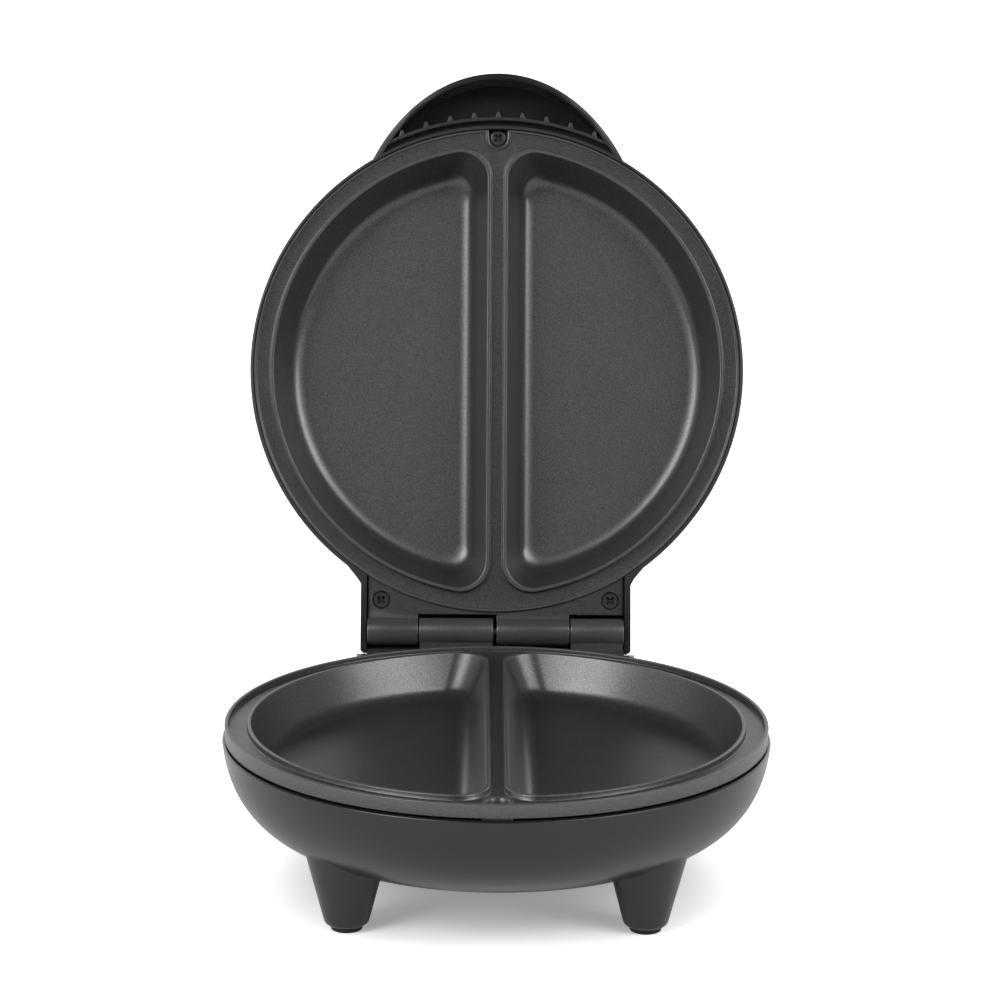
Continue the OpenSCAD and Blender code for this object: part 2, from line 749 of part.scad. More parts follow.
// Thermal fuse in its glass-fibre sleeve
module thermal_fuse() {
    color([0.9, 0.9, 0.86]) on_base() translate([0, fuse_y, rim_z - clamp_d + seat + fuse_r])
        rotate([0, 90, 0]) translate([0, 0, -fuse_l / 2]) cylinder(r = fuse_r, h = fuse_l, $fn = 32);
}

module terminal_block() {
    color([0.88, 0.87, 0.82]) on_base() translate([0, block_y, block_z]) difference() {
        translate([-block_w / 2, -block_l / 2, 0]) cube([block_w, block_l, block_h]);
        for (i = [-1 : 1]) translate([i * block_w / 3, 0, block_h / 2]) {
            rotate([90, 0, 0]) translate([0, 0, -block_l]) cylinder(r = block_hole_r, h = 2 * block_l, $fn = 32);
            cylinder(r = block_screw_r, h = block_h, $fn = 32);
        }
    }
}

// Grommet in the rear wall that the mains lead passes through
module cord_gland() {
    flange = 2;
    inner_z = -wall - flange - seat;
    color([0.07, 0.07, 0.07]) on_base() translate([0, hinge_y + box_back, gland_z]) rotate([-90, 0, 0])
        difference() {
            union() {
                translate([0, 0, seat]) cylinder(r = gland_neck + 2, h = flange);
                translate([0, 0, inner_z]) cylinder(r = gland_neck, h = flange + seat - inner_z);
                translate([0, 0, inner_z]) cylinder(r = gland_neck + 1, h = flange);
            }
            translate([0, 0, -20]) cylinder(r = gland_bore, h = 40);
        }
}

// Hinge box of the lid, drawn in by inset
module lid_box(inset) {
    back = hinge_y + lid_box_back - inset;
    half_w = lid_box_half_w - inset;
    top = lid_box_h - inset;
    low = inset > 0 ? -1 : lid_rim_gap;
    intersection() {
        translate([0, 0, low]) linear_extrude(dome_h) union() {
            box_plan(half_w, back, max(lid_box_corner - inset, lid_box_corner / 4));
            if (inset == 0) box_chamfer(half_w, lid_r);
        }
        along_x(base_r) polygon(concat(
            [[0, low], [0, top + lid_box_slope], [back - 45, top + lid_box_slope]],
            arc(back - lid_box_round, top - lid_box_round, lid_box_round, 80, 0),
            [[back, low]]));
        translate([0, 0, low]) rotate([90, 0, 0]) translate([0, 0, -2 * base_r]) linear_extrude(2 * base_r) {
            side = inset > 0 ? half_w : lid_r;
            high = top + lid_box_slope + 2;
            polygon([[-side, 0], [-side, top - 6], [6 - half_w, high],
                [half_w - 6, high], [side, top - 6], [side, 0]]);
        }
    }
}

module handle_body(inset, low, top) {
    hull() {
        translate([0, 0, low]) linear_extrude(top - handle_round - low)
            polygon(oval(handle_a - inset, handle_b - inset, handle_y));
        translate([0, 0, top - 1.2]) linear_extrude(1.2)
            polygon(oval(handle_a - inset - handle_round, handle_b - inset - handle_round, handle_y));
    }
}

// Small ribs on the outside of the handle's inner wall
module handle_ribs() {
    root_r = strip_r + strip_t - 0.3;
    for (i = [0 : rib_n - 1]) {
        x = (i - (rib_n - 1) / 2) * rib_pitch;
        y = -sqrt(root_r * root_r - x * x);
        translate([x, y, lid_rim_gap + 0.6]) linear_extrude(handle_h - lid_rim_gap - wall)
            polygon([[-rib_w / 2, 0.4], [rib_w / 2, 0.4], [0.4, -rib_l], [-0.4, -rib_l]]);
    }
}

// Solid lid: a straight band from height low with the dome on it
module dome(r, low, top) {
    bulge(r, dome_z, top, dome_z - low);
}

module lamp_places() {
    for (s = [-1, 1]) translate([s * lamp_gap / 2, -lamp_front, 0]) children();
}

module lid_bosses() {
    translate([0, front_screw_y, shut_gap + notch_floor + plate_t + seat]) cylinder(r = boss_r, h = dome_h);
    mirrored_x() translate([rear_screw_x, rear_screw_y, shut_gap + tab_d + tab_t + seat])
        cylinder(r = boss_r, h = dome_h);
}

module lid_housing() {
    color(plastic) on_lid() difference() {
        union() {
            difference() {
                union() {
                    dome(lid_r, lid_rim_gap, dome_h);
                    lid_box(0);
                    handle_body(0, lid_rim_gap, handle_h);
                }
                dome(lid_r - lid_rim_t, -1, dome_h - wall);
                lid_box(wall);
                difference() {
                    handle_body(wall, lid_rim_gap - 1, handle_h - wall);
                    translate([0, 0, -1]) cylinder(r = lid_r, h = dome_h);
                    difference() {
                        translate([0, 0, lid_rim_gap + 0.4]) cylinder(r = strip_r + strip_t, h = dome_h);
                        translate([0, 0, -1]) cylinder(r = strip_r, h = dome_h + 2);
                    }
                }
            }
            intersection() {
                handle_body(wall / 2, lid_rim_gap, handle_h - 1);
                handle_ribs();
            }
            intersection() {
                union() {
                    dome(lid_r - lid_rim_t / 2, lid_rim_gap, dome_h - wall / 2);
                    lid_box(wall / 2);
                }
                lid_bosses();
            }
        }
        translate([-lid_box_in, hinge_y - knuckle_r - hinge_clear, -1])
            cube([2 * lid_box_in, 2 * knuckle_r + 2 * lid_box_back, lid_box_edge + 1]);
        translate([0, front_screw_y, 0])
            cylinder(r = shank_r + thread_play, h = shut_gap + notch_floor + front_screw_l + 1);
        mirrored_x() translate([rear_screw_x, rear_screw_y, 0])
            cylinder(r = shank_r + thread_play, h = shut_gap + tab_d + rear_screw_l + 1);
        lamp_places() translate([0, 0, lamp_floor - 5]) cylinder(r = lens_r + thread_play, h = 20);
    }
}

module upper_plate() {
    tab_z = -tab_d;
    rise = hinge_rise - shut_gap;
    color(coating) on_lid() facing_down() difference() {
        union() {
            cook_plate(upper_r, upper_lip_h, upper_lip_h - gutter_d, upper_skirt_h, upper_r, upper_r + 1);
            difference() {
                union() {
                    hinge_tab(tab_z, tab_t, hinge_y - knuckle_r - hinge_clear);
                    for (x = [[-tab_half_w, split_ab - knuckle_gap / 2],
                            [split_bc + middle_gap / 2, split_cd - knuckle_gap / 2]])
                        translate([x[0], hinge_y - 20, tab_z - tab_t]) cube([x[1] - x[0], 18, tab_t]);
                }
                translate([0, 0, -20]) cylinder(r = upper_r - 4, h = 40);
            }
            translate([0, 0, -rise]) {
                barrel(-tab_half_w, split_ab - knuckle_gap / 2);
                barrel(split_bc + middle_gap / 2, split_cd - knuckle_gap / 2);
            }
        }
        translate([0, 0, -rise]) barrel(-hinge_w, hinge_w, pin_r + pin_play);
        tab_screw_holes(tab_z, tab_t);
    }
}

module upper_front_screw() {
    color(steel) on_lid() facing_down()
        translate([0, front_screw_y, -notch_floor + seat]) pan_screw(front_screw_l);
}

module upper_hinge_screws() {
    color(steel) on_lid() facing_down() mirrored_x()
        translate([rear_screw_x, rear_screw_y, -tab_d]) flat_screw(rear_screw_l);
}

module upper_heating_element() {
    color(steel) on_lid() facing_down() element(upper_tag_l);
}

module upper_element_clamps() {
    color(sheet) on_lid() facing_down() clamps();
}

module upper_clamp_screws() {
    color(steel) on_lid() facing_down() clamp_screws();
}

module upper_reflector() {
    color(sheet) on_lid() facing_down() reflector(upper_reflector_r);
}

// Lamp lens with a flange inside the dome
module lens() {
    translate([0, 0, lamp_floor - lens_flange - seat]) {
        cylinder(r = 1.25 * lens_r, h = lens_flange, $fn = 48);
        cylinder(r = lens_r, h = lens_flange + dome_h - lamp_floor, $fn = 48);
    }
}

module power_lamp_lens() {
    color([0.7, 0.1, 0.08]) on_lid() translate([-lamp_gap / 2, -lamp_front, 0]) lens();
}

module ready_lamp_lens() {
    color([0.1, 0.5, 0.15]) on_lid() translate([lamp_gap / 2, -lamp_front, 0]) lens();
}

// Carrier with the two small lamps behind their lenses
module lamp_holder() {
    half_l = lamp_gap / 2 + 1.25 * lens_r;
    color([0.8, 0.8, 0.78]) on_lid() translate([0, 0, lamp_floor - lens_flange - 2 * seat - lamp_bar]) {
        translate([-half_l, -lamp_front - lens_r, 0]) cube([2 * half_l, 2 * lens_r, lamp_bar]);
        lamp_places() translate([0, 0, -lamp_l]) cylinder(r = lens_r / 2, h = lamp_l + lamp_bar / 2, $fn = 32);
    }
}

base_housing();
foot_pads();
lower_plate();
hinge_pin();
lower_front_screw();
lower_hinge_screws();
lower_heating_element();
lower_element_clamps();
lower_clamp_screws();
lower_reflector();
thermostat();
thermostat_bracket();
thermostat_screws();
thermal_fuse();
terminal_block();
cord_gland();
lid_housing();
upper_plate();
upper_front_screw();
upper_hinge_screws();
upper_heating_element();
upper_element_clamps();
upper_clamp_screws();
upper_reflector();
power_lamp_lens();
ready_lamp_lens();
lamp_holder();
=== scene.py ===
"""Looks of a round electric omelette maker with its lid open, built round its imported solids.

Shapes are worked out in millimetres round the middle of the cooking plates, with the height over the
table for the base and the height over the cooking rim for the shut lid, and are then put in their row
place in metres.
"""

import logging
import math
from dataclasses import dataclass, field
from enum import Enum
from typing import Callable, Sequence

import bmesh
import bpy
import numpy as np
from mathutils import Matrix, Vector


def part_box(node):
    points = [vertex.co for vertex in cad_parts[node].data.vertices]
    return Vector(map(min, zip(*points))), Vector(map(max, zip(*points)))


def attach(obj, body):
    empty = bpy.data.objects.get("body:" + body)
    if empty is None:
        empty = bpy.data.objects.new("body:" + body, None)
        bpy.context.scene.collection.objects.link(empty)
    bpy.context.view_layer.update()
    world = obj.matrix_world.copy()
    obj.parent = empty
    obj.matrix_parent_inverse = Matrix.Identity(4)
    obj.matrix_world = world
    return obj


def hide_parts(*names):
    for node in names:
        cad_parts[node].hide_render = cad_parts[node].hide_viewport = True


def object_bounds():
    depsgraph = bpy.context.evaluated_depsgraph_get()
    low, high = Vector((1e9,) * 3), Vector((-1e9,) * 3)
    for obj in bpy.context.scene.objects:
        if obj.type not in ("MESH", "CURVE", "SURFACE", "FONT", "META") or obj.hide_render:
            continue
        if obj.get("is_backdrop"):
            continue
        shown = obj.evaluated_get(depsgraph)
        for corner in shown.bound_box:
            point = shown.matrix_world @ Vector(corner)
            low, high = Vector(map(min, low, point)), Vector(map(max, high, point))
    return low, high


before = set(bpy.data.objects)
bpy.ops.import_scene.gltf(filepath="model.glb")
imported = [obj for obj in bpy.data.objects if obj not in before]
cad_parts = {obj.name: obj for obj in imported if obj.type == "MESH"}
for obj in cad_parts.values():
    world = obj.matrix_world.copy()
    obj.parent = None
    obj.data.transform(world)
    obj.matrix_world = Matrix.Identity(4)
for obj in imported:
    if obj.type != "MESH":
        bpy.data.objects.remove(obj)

LOG = logging.getLogger("omelette_maker")
MM = 0.001
CAD_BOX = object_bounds()
# Edges with a larger angle in degrees are rounded, or stay sharp in the shading
BEVEL_ANGLE = 35.0
SHARP_ANGLE = 32.0

Array = np.ndarray
Place = Callable[[Array], Array]


class Body(Enum):
    """The two bodies that pieces ride on."""

    BASE = "base"
    LID = "lid"


class Cut(Enum):
    """How one solid is combined with another."""

    ADD = "UNION"
    REMOVE = "DIFFERENCE"
    KEEP_COMMON = "INTERSECT"


class View(Enum):
    """Where an outline's two columns and its depth stand in X, Y and Z."""

    PLAN = (0, 1, 2)
    SIDE = (2, 0, 1)
    FRONT = (0, 2, 1)


@dataclass(frozen=True)
class Layout:
    """Sizes that both halves share, in millimetres and degrees."""

    base_r: float = 110.0
    rim_z: float = 67.6
    lid_open: float = 108.0
    shut_gap: float = 0.4
    wall: float = 2.6
    lower_r: float = 109.0
    lid_r: float = 108.8
    hinge_back: float = 7.0
    hinge_rise: float = 4.3

    @property
    def hinge_y(self) -> float:
        """Distance of the hinge axis behind the plate centre."""
        return self.lower_r + self.hinge_back

    @property
    def plate_y(self) -> float:
        """Row position of the plate centre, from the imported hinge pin."""
        low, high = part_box("hinge_pin")
        return (low[1] + high[1]) / 2 / MM - self.hinge_y

    def base_place(self, points: Array) -> Array:
        """Puts points of the base in the row, in metres."""
        return (points + np.array([0.0, self.plate_y, 0.0])) * MM

    def rim_place(self, points: Array) -> Array:
        """Puts points drawn over the cooking rim of the base in the row, in metres."""
        return self.base_place(points + np.array([0.0, 0.0, self.rim_z]))

    def lid_place(self, points: Array) -> Array:
        """Turns points of the shut lid about the hinge to where the open lid is, in metres.

        Args:
            points: Points in millimetres, their heights over the cooking rim.

        Returns:
            The points in metres.
        """
        turn = math.radians(-self.lid_open)
        back = points[:, 1] - self.hinge_y
        up = points[:, 2] - self.hinge_rise
        opened = points.copy()
        opened[:, 1] = self.hinge_y + back * math.cos(turn) - up * math.sin(turn)
        opened[:, 2] = self.rim_z + self.hinge_rise + back * math.sin(turn) + up * math.cos(turn)
        return self.base_place(opened)

    def facing_down_place(self, points: Array) -> Array:
        """Puts a plate drawn with its cooking side up in the lid with its cooking side down."""
        flipped = points * np.array([1.0, 1.0, -1.0]) + np.array([0.0, 0.0, self.shut_gap])
        return self.lid_place(flipped)


LAYOUT = Layout()


def arc(centre: tuple[float, float], radius: float, start: float, end: float, steps: int = 8) -> Array:
    """Points on a circle: centre plus radius times (cos, sin) of evenly spaced angles in degrees.

    Args:
        centre: Middle of the circle.
        radius: Its radius.
        start: First angle.
        end: Last angle.
        steps: Number of steps between them.

    Returns:
        An array of steps + 1 points.
    """
    angles = np.radians(np.linspace(start, end, steps + 1))
    return np.stack([centre[0] + radius * np.cos(angles), centre[1] + radius * np.sin(angles)], axis=1)


def rounded(corners: Sequence[tuple[float, float, float]], steps: int = 5) -> Array:
    """Rounds the corners of a profile: each corner is swapped for an arc tangent to its two sides.

    Args:
        corners: Corner points with the radius of each, 0 for a sharp one.
        steps: Steps along each arc.

    Returns:
        The points of the rounded closed profile.
    """
    points = np.array([corner[:2] for corner in corners], dtype=float)
    share = np.linspace(0, 1, steps + 1)[:, None]
    made = []
    for index, (x, y, radius) in enumerate(corners):
        here = np.array([x, y])
        if radius <= 0:
            made.append(here[None])
            continue
        before, after = points[index - 1] - here, points[(index + 1) % len(points)] - here
        before /= np.linalg.norm(before)
        after /= np.linalg.norm(after)
        half = math.acos(float(np.clip(before @ after, -1, 1))) / 2
        middle = here + (before + after) / np.linalg.norm(before + after) * radius / math.sin(half)
        first = here + before * radius / math.tan(half) - middle
        last = here + after * radius / math.tan(half) - middle
        swing = math.pi - 2 * half
        blend = (np.sin((1 - share) * swing) * first + np.sin(share * swing) * last) / math.sin(swing)
        made.append(middle + blend)
    return np.concatenate(made)


def spaced(ends: Sequence[float], counts: Sequence[int]) -> Array:
    """Values spaced evenly from each end to the next, without the very last one."""
    legs = zip(ends, ends[1:], counts)
    return np.concatenate([np.linspace(first, last, count, endpoint=False) for first, last, count in legs])


def level(outline: Array, height: float) -> Array:
    """A flat outline with one height for all its points."""
    return np.column_stack([outline, np.full(len(outline), height)])


def curve_profile(
    radius: float, z_rim: float, z_end: float, power: float, rise: float, steps: int = 72
) -> Array:
    """Half outline of a bowl or dome: a superellipse from its rim in to the axis.

    Args:
        radius: Radius at the rim.
        z_rim: Height of the rim.
        z_end: Height at the axis.
        power: Power of the superellipse, higher for a squarer curve.
        rise: How far beyond the rim the curve would be widest.
        steps: Steps along the curve.

    Returns:
        Points of radius and height.
    """
    z_wide = z_rim - math.copysign(rise, z_end - z_rim)
    span = z_end - z_wide
    start = math.asin(rise / abs(span))
    widest = radius / math.cos(start) ** (2 / power)
    turn = np.linspace(start, math.pi / 2, steps + 1)
    across = widest * np.clip(np.cos(turn), 0, 1) ** (2 / power)
    across[-1] = 0.0
    return np.stack([across, z_wide + span * np.sin(turn)], axis=1)


class Skin:
    """Collects surface patches in millimetres and turns them into one closed mesh object."""

    def __init__(self) -> None:
        """Starts with nothing in it."""
        self.points: list[Array] = []
        self.faces: list[Array] = []
        self.caps: list[list[int]] = []
        self.count = 0

    def grid(self, rows: Array) -> "Skin":
        """Adds a surface whose points lie on closed rows, joined by four-sided faces.

        Args:
            rows: Array of rows, points along a row and X, Y, Z.

        Returns:
            The skin itself.
        """
        height, width = rows.shape[:2]
        index = np.arange(height * width).reshape(height, width) + self.count
        ring = np.concatenate([index, index[:, :1]], axis=1)
        faces = np.stack([ring[:-1, :-1], ring[:-1, 1:], ring[1:, 1:], ring[1:, :-1]], axis=-1)
        self.points.append(rows.reshape(-1, 3))
        self.faces.append(faces.reshape(-1, 4))
        self.count += height * width
        return self

    def cap(self, loop: Array) -> "Skin":
        """Closes a flat loop of points with one face.

        Args:
            loop: Points of the loop.

        Returns:
            The skin itself.
        """
        self.caps.append(list(range(self.count, self.count + len(loop))))
        self.points.append(loop)
        self.count += len(loop)
        return self

    def revolve(self, profile: Array, sides: int = 256, angles: Array | None = None) -> "Skin":
        """Adds a profile of radius and height turned round the Z axis.

        Args:
            profile: Points of radius and height.
            sides: Number of sides of the turned form.
            angles: Angles in radians to use instead of even ones.

        Returns:
            The skin itself.
        """
        turn = np.linspace(0, 2 * math.pi, sides, endpoint=False) if angles is None else angles
        reach = profile[:, :1]
        height = np.repeat(profile[:, 1:], len(turn), axis=1)
        return self.grid(np.stack([reach * np.cos(turn), reach * np.sin(turn), height], axis=-1))

    def build(self, name: str) -> bpy.types.Object:
        """Makes the mesh, merges doubles and turns its faces outwards.

        Args:
            name: Name of the object.

        Returns:
            The new object, still in millimetres.
        """
        mesh = bpy.data.meshes.new(name)
        faces = np.concatenate(self.faces).tolist() + self.caps
        mesh.from_pydata(np.concatenate(self.points).tolist(), [], faces)
        shape = bmesh.new()
        shape.from_mesh(mesh)
        bmesh.ops.remove_doubles(shape, verts=shape.verts, dist=1e-4)
        bmesh.ops.dissolve_degenerate(shape, edges=shape.edges, dist=1e-5)
        bmesh.ops.recalc_face_normals(shape, faces=shape.faces)
        shape.to_mesh(mesh)
        shape.free()
        piece = bpy.data.objects.new(name, mesh)
        bpy.context.scene.collection.objects.link(piece)
        return piece


def turned(profile: Array, sides: int = 256) -> bpy.types.Object:
    """A closed solid of revolution about Z from a closed or axis-to-axis profile."""
    return Skin().revolve(profile, sides).build("turned")


def loft(loops: Sequence[Array]) -> bpy.types.Object:
    """A solid lofted through loops, with flat ends."""
    return Skin().grid(np.stack(loops)).cap(loops[0]).cap(loops[-1]).build("loft")


def prism(outline: Array, low: float, high: float, view: View = View.PLAN) -> bpy.types.Object:
    """A flat outline carried straight from one place to another, along the axis its view looks along."""
    return loft([level(outline, depth)[:, list(view.value)] for depth in (low, high)])


def rod(radius: float, low: float, high: float, sides: int = 256) -> bpy.types.Object:
    """A round rod on the Z axis from one height to another."""
    return turned(np.array([[0, low], [radius, low], [radius, high], [0, high]], dtype=float), sides)


def oblong(low: Sequence[float], high: Sequence[float]) -> Array:
    """Outline of a rectangle between two opposite corners."""
    return np.array([[low[0], low[1]], [high[0], low[1]], [high[0], high[1]], [low[0], high[1]]])


def barrel(
    centre: tuple[float, float], x_low: float, x_high: float, profile: Array, sides: int = 64
) -> bpy.types.Object:
    """A solid turned about an axis along X.

    Args:
        centre: Y and Z of the axis.
        x_low: Where the profile's length starts.
        x_high: Where it ends.
        profile: Closed profile of radius and length, its length running from 0 to 1.
        sides: Number of sides.

    Returns:
        The new solid.
    """
    turn = np.linspace(0, 2 * math.pi, sides, endpoint=False)
    reach = profile[:, :1]
    along = np.repeat(x_low + profile[:, 1:] * (x_high - x_low), sides, axis=1)
    rows = np.stack([along, centre[0] + reach * np.cos(turn), centre[1] + reach * np.sin(turn)], axis=-1)
    return Skin().grid(np.concatenate([rows, rows[:1]])).build("barrel")


def shifted(piece: bpy.types.Object, move: Sequence[float]) -> bpy.types.Object:
    """Moves the points of a piece by move, in millimetres.

    Args:
        piece: Piece to move.
        move: How far, along X, Y and Z.

    Returns:
        The piece.
    """
    coords = read_points(piece)
    write_points(piece, coords + np.array(move, dtype=float))
    return piece


def read_points(piece: bpy.types.Object) -> Array:
    """The mesh points of a piece as an array.

    Args:
        piece: Piece to read.

    Returns:
        Array of points and X, Y, Z.
    """
    coords = np.empty(len(piece.data.vertices) * 3)
    piece.data.vertices.foreach_get("co", coords)
    return coords.reshape(-1, 3)


def write_points(piece: bpy.types.Object, coords: Array) -> None:
    """Puts an array of points back in a piece's mesh."""
    piece.data.vertices.foreach_set("co", coords.reshape(-1))
    piece.data.update()


def settle(piece: bpy.types.Object) -> None:
    """Applies the modifiers of a piece to its mesh.

    Args:
        piece: Piece to change.
    """
    bpy.context.view_layer.update()
    graph = bpy.context.evaluated_depsgraph_get()
    mesh = bpy.data.meshes.new_from_object(piece.evaluated_get(graph))
    piece.modifiers.clear()
    piece.data = mesh


def combine(piece: bpy.types.Object, how: Cut, tools: Sequence[bpy.types.Object]) -> bpy.types.Object:
    """Adds tools to a piece or cuts them from it, and deletes the tools.

    Args:
        piece: Solid that is changed.
        how: What is done with each tool.
        tools: Solids to use.

    Returns:
        The changed piece.
    """
    for tool in tools:
        step = piece.modifiers.new("combine", "BOOLEAN")
        step.operation = how.value
        step.solver = "MANIFOLD"
        step.object = tool
        settle(piece)
        bpy.data.objects.remove(tool)
    return piece


def softened(piece: bpy.types.Object, width: float, steps: int = 2) -> bpy.types.Object:
    """Rounds the sharp edges of a piece.

    Args:
        piece: Piece to round.
        width: Width of the rounding.
        steps: Steps across it.

    Returns:
        The piece.
    """
    bevel = piece.modifiers.new("soft edges", "BEVEL")
    bevel.width = width
    bevel.segments = steps
    bevel.limit_method = "ANGLE"
    bevel.angle_limit = math.radians(BEVEL_ANGLE)
    bevel.use_clamp_overlap = True
    settle(piece)
    return piece


def finish_piece(
    piece: bpy.types.Object,
    name: str,
    place: Place,
    body: Body,
    material: bpy.types.Material,
    slot: str,
    nodes: Sequence[str],
) -> None:
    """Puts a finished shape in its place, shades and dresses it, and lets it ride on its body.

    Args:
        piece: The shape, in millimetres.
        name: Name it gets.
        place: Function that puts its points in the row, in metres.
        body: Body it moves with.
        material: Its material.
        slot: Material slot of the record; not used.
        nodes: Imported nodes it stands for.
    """
    write_points(piece, place(read_points(piece)))
    shape = bmesh.new()
    shape.from_mesh(piece.data)
    bmesh.ops.remove_doubles(shape, verts=shape.verts, dist=2e-7)
    bmesh.ops.recalc_face_normals(shape, faces=shape.faces)
    shape.to_mesh(piece.data)
    shape.free()
    piece.data.polygons.foreach_set("use_smooth", np.ones(len(piece.data.polygons), dtype=bool))
    piece.data.set_sharp_from_angle(angle=math.radians(SHARP_ANGLE))
    piece.name = name
    piece.data.name = name
    piece.data.materials.clear()
    piece.data.materials.append(material)
    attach(piece, body.value)
    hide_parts(*nodes)
    LOG.info("%s: %d faces on %s", name, len(piece.data.polygons), body.value)


def linear(code: str) -> tuple[float, float, float, float]:
    """Turns an sRGB hex colour into linear red, green, blue and alpha."""
    parts = [int(code[i : i + 2], 16) / 255 for i in (1, 3, 5)]
    red, green, blue = (p / 12.92 if p <= 0.04045 else ((p + 0.055) / 1.055) ** 2.4 for p in parts)
    return (red, green, blue, 1.0)


def add(
    tree: bpy.types.NodeTree, kind: str, settings: dict | None = None, links: dict | None = None
) -> bpy.types.Node:
    """Adds a node with its settings and links.

    Args:
        tree: Node tree.
        kind: Type name of the node, without ShaderNode in front of it.
        settings: Values of properties, or of inputs where the name is an input's.
        links: Input name or number to the socket that feeds it, or to a node for its first output.

    Returns:
        The new node.
    """
    node = tree.nodes.new("ShaderNode" + kind)
    for name, value in (settings or {}).items():
        if isinstance(name, int) or name in node.inputs:
            node.inputs[name].default_value = value
        else:
            setattr(node, name, value)
    for name, source in (links or {}).items():
        socket = source.outputs[0] if isinstance(source, bpy.types.Node) else source
        tree.links.new(socket, node.inputs[name])
    return node


def bare_tree(owner: bpy.types.Material | bpy.types.World) -> bpy.types.NodeTree:
    """Turns on the nodes of a material or world and returns its tree, emptied.

    Args:
        owner: Material or world.

    Returns:
        Its node tree.
    """
    owner.use_nodes = True
    owner.node_tree.nodes.clear()
    return owner.node_tree


# Point attributes that the finishes read: how much rougher the surface is there, and how much painted
# highlight, a lighter shade standing in for light, it gets
ROUGH_MARK = "rougher"
PAINTED_HIGHLIGHT_MARK = "painted_highlight"
GUTTER_ROUGH = 0.4
EVEN_ROUGH = 0.3


@dataclass(frozen=True)
class Grained:
    """A moulded, coated or drawn finish: two close shades mottled by its grain, and a fine bump.

    grain_mm is the size of the grain and speck the contrast of the light flecks in it. sparkle is how much
    more the light flecks reflect. mark_rough is what a rougher mark of 1 adds to the roughness, and
    painted_highlight_shade the lighter shade painted as highlight where the painted highlight mark is set.
    """

    name: str
    shade: str
    fleck: str
    roughness: float
    rough_spread: float
    grain_mm: float
    bump_mm: float
    speck: float = 0.6
    metallic: float = 0.0
    specular: float = 0.5
    mark_rough: float = 0.0
    sparkle: float = 0.0
    painted_highlight_shade: str = ""
    cloud_mm: float = 18.0

    def material(self) -> bpy.types.Material:
        """Builds the material: noise in Object coordinates mixes the shades and moves roughness and bump.

        Returns:
            The new material.
        """
        made = bpy.data.materials.new(self.name)
        tree = bare_tree(made)
        point = add(tree, "TexCoord").outputs["Object"]
        fine = {"Scale": 1 / (self.grain_mm * MM), "Detail": 2.0, "Roughness": 0.6}
        grain = add(tree, "TexNoise", fine, {"Vector": point})
        broad = {"Scale": 1 / (self.cloud_mm * MM), "Detail": 3.0}
        cloud = add(tree, "TexNoise", broad, {"Vector": point})
        around = {"From Min": 0.5 - 0.5 * self.speck, "From Max": 0.5 + 0.5 * self.speck}
        flecks = add(tree, "MapRange", around, {"Value": grain})
        gleam = {"To Min": self.specular * (1 - self.sparkle), "To Max": self.specular * (1 + self.sparkle)}
        shine = add(tree, "MapRange", gleam, {"Value": flecks})
        shades = {"data_type": "RGBA", 6: linear(self.shade), 7: linear(self.fleck)}
        tint = add(tree, "Mix", shades, {"Factor": flecks}).outputs[2]
        # Painted highlight: a lighter shade mixed in where the mark is set, for lines of light on edges and
        # knuckles
        if self.painted_highlight_shade:
            edges = add(tree, "Attribute", {"attribute_name": PAINTED_HIGHLIGHT_MARK}).outputs["Fac"]
            lighter = {"data_type": "RGBA", 7: linear(self.painted_highlight_shade)}
            tint = add(tree, "Mix", lighter, {"Factor": edges, 6: tint}).outputs[2]
        spread = {"From Min": 0.3, "From Max": 0.7}
        spread["To Min"] = self.roughness - self.rough_spread
        spread["To Max"] = self.roughness + self.rough_spread
        rough = add(tree, "MapRange", spread, {"Value": cloud})
        if self.mark_rough:
            marks = add(tree, "Attribute", {"attribute_name": ROUGH_MARK}).outputs["Fac"]
            rougher = {"operation": "MULTIPLY_ADD", 1: self.mark_rough}
            rough = add(tree, "Math", rougher, {0: marks, 2: rough})
        bump = add(tree, "Bump", {"Strength": 1.0, "Distance": self.bump_mm * MM}, {"Height": grain})
        feeds = {"Specular IOR Level": shine, "Base Color": tint, "Roughness": rough, "Normal": bump}
        shader = add(tree, "BsdfPrincipled", {"Metallic": self.metallic}, feeds)
        add(tree, "OutputMaterial", links={"Surface": shader})
        return made


# Non-stick coating sprayed on cast aluminium: dark grey, satin, with fine light flecks, and a lighter shade
# painted as highlight on the lip, the bead crowns and the hinge
COATING = Grained(
    "sprayed_nonstick_coating",
    shade="#131313",
    fleck="#393939",
    roughness=0.3,
    rough_spread=0.02,
    grain_mm=0.45,
    bump_mm=0.012,
    speck=0.4,
    specular=0.9,
    mark_rough=0.18,
    sparkle=0.3,
    # Lighter shade painted as highlight where the highlight mark is set
    painted_highlight_shade="#424242",
)
# Moulded heat-resistant plastic with a fine spark texture: black, satin
PLASTIC = Grained("moulded_black_plastic", "#1b1b1b", "#202020", 0.24, 0.02, 0.35, 0.001, mark_rough=0.2)
# Moulded rubber: black and dull
RUBBER = Grained("moulded_rubber", "#141414", "#1c1c1c", 0.75, 0.05, 0.5, 0.01)
# Blackened steel screws: dark and slightly shiny
BLACK_STEEL = Grained("blackened_steel", "#222223", "#2e2e2f", 0.38, 0.05, 0.3, 0.004)
# Plain drawn steel of the hinge pin: pale grey, with a soft shine
BRIGHT_STEEL = Grained("drawn_steel", "#8d8d90", "#a2a2a5", 0.32, 0.05, 0.3, 0.003, metallic=1.0)
# Steel sheath of the elements, dulled by heat: brownish grey, nearly matt
ELEMENT = Grained("heat_dulled_steel", "#6b655f", "#857d74", 0.45, 0.06, 0.5, 0.005, metallic=1.0)
# Rolled aluminised sheet: pale and clouded
SHEET = Grained("rolled_sheet", "#b4b4b6", "#c8c8ca", 0.3, 0.06, 0.4, 0.003, metallic=1.0)
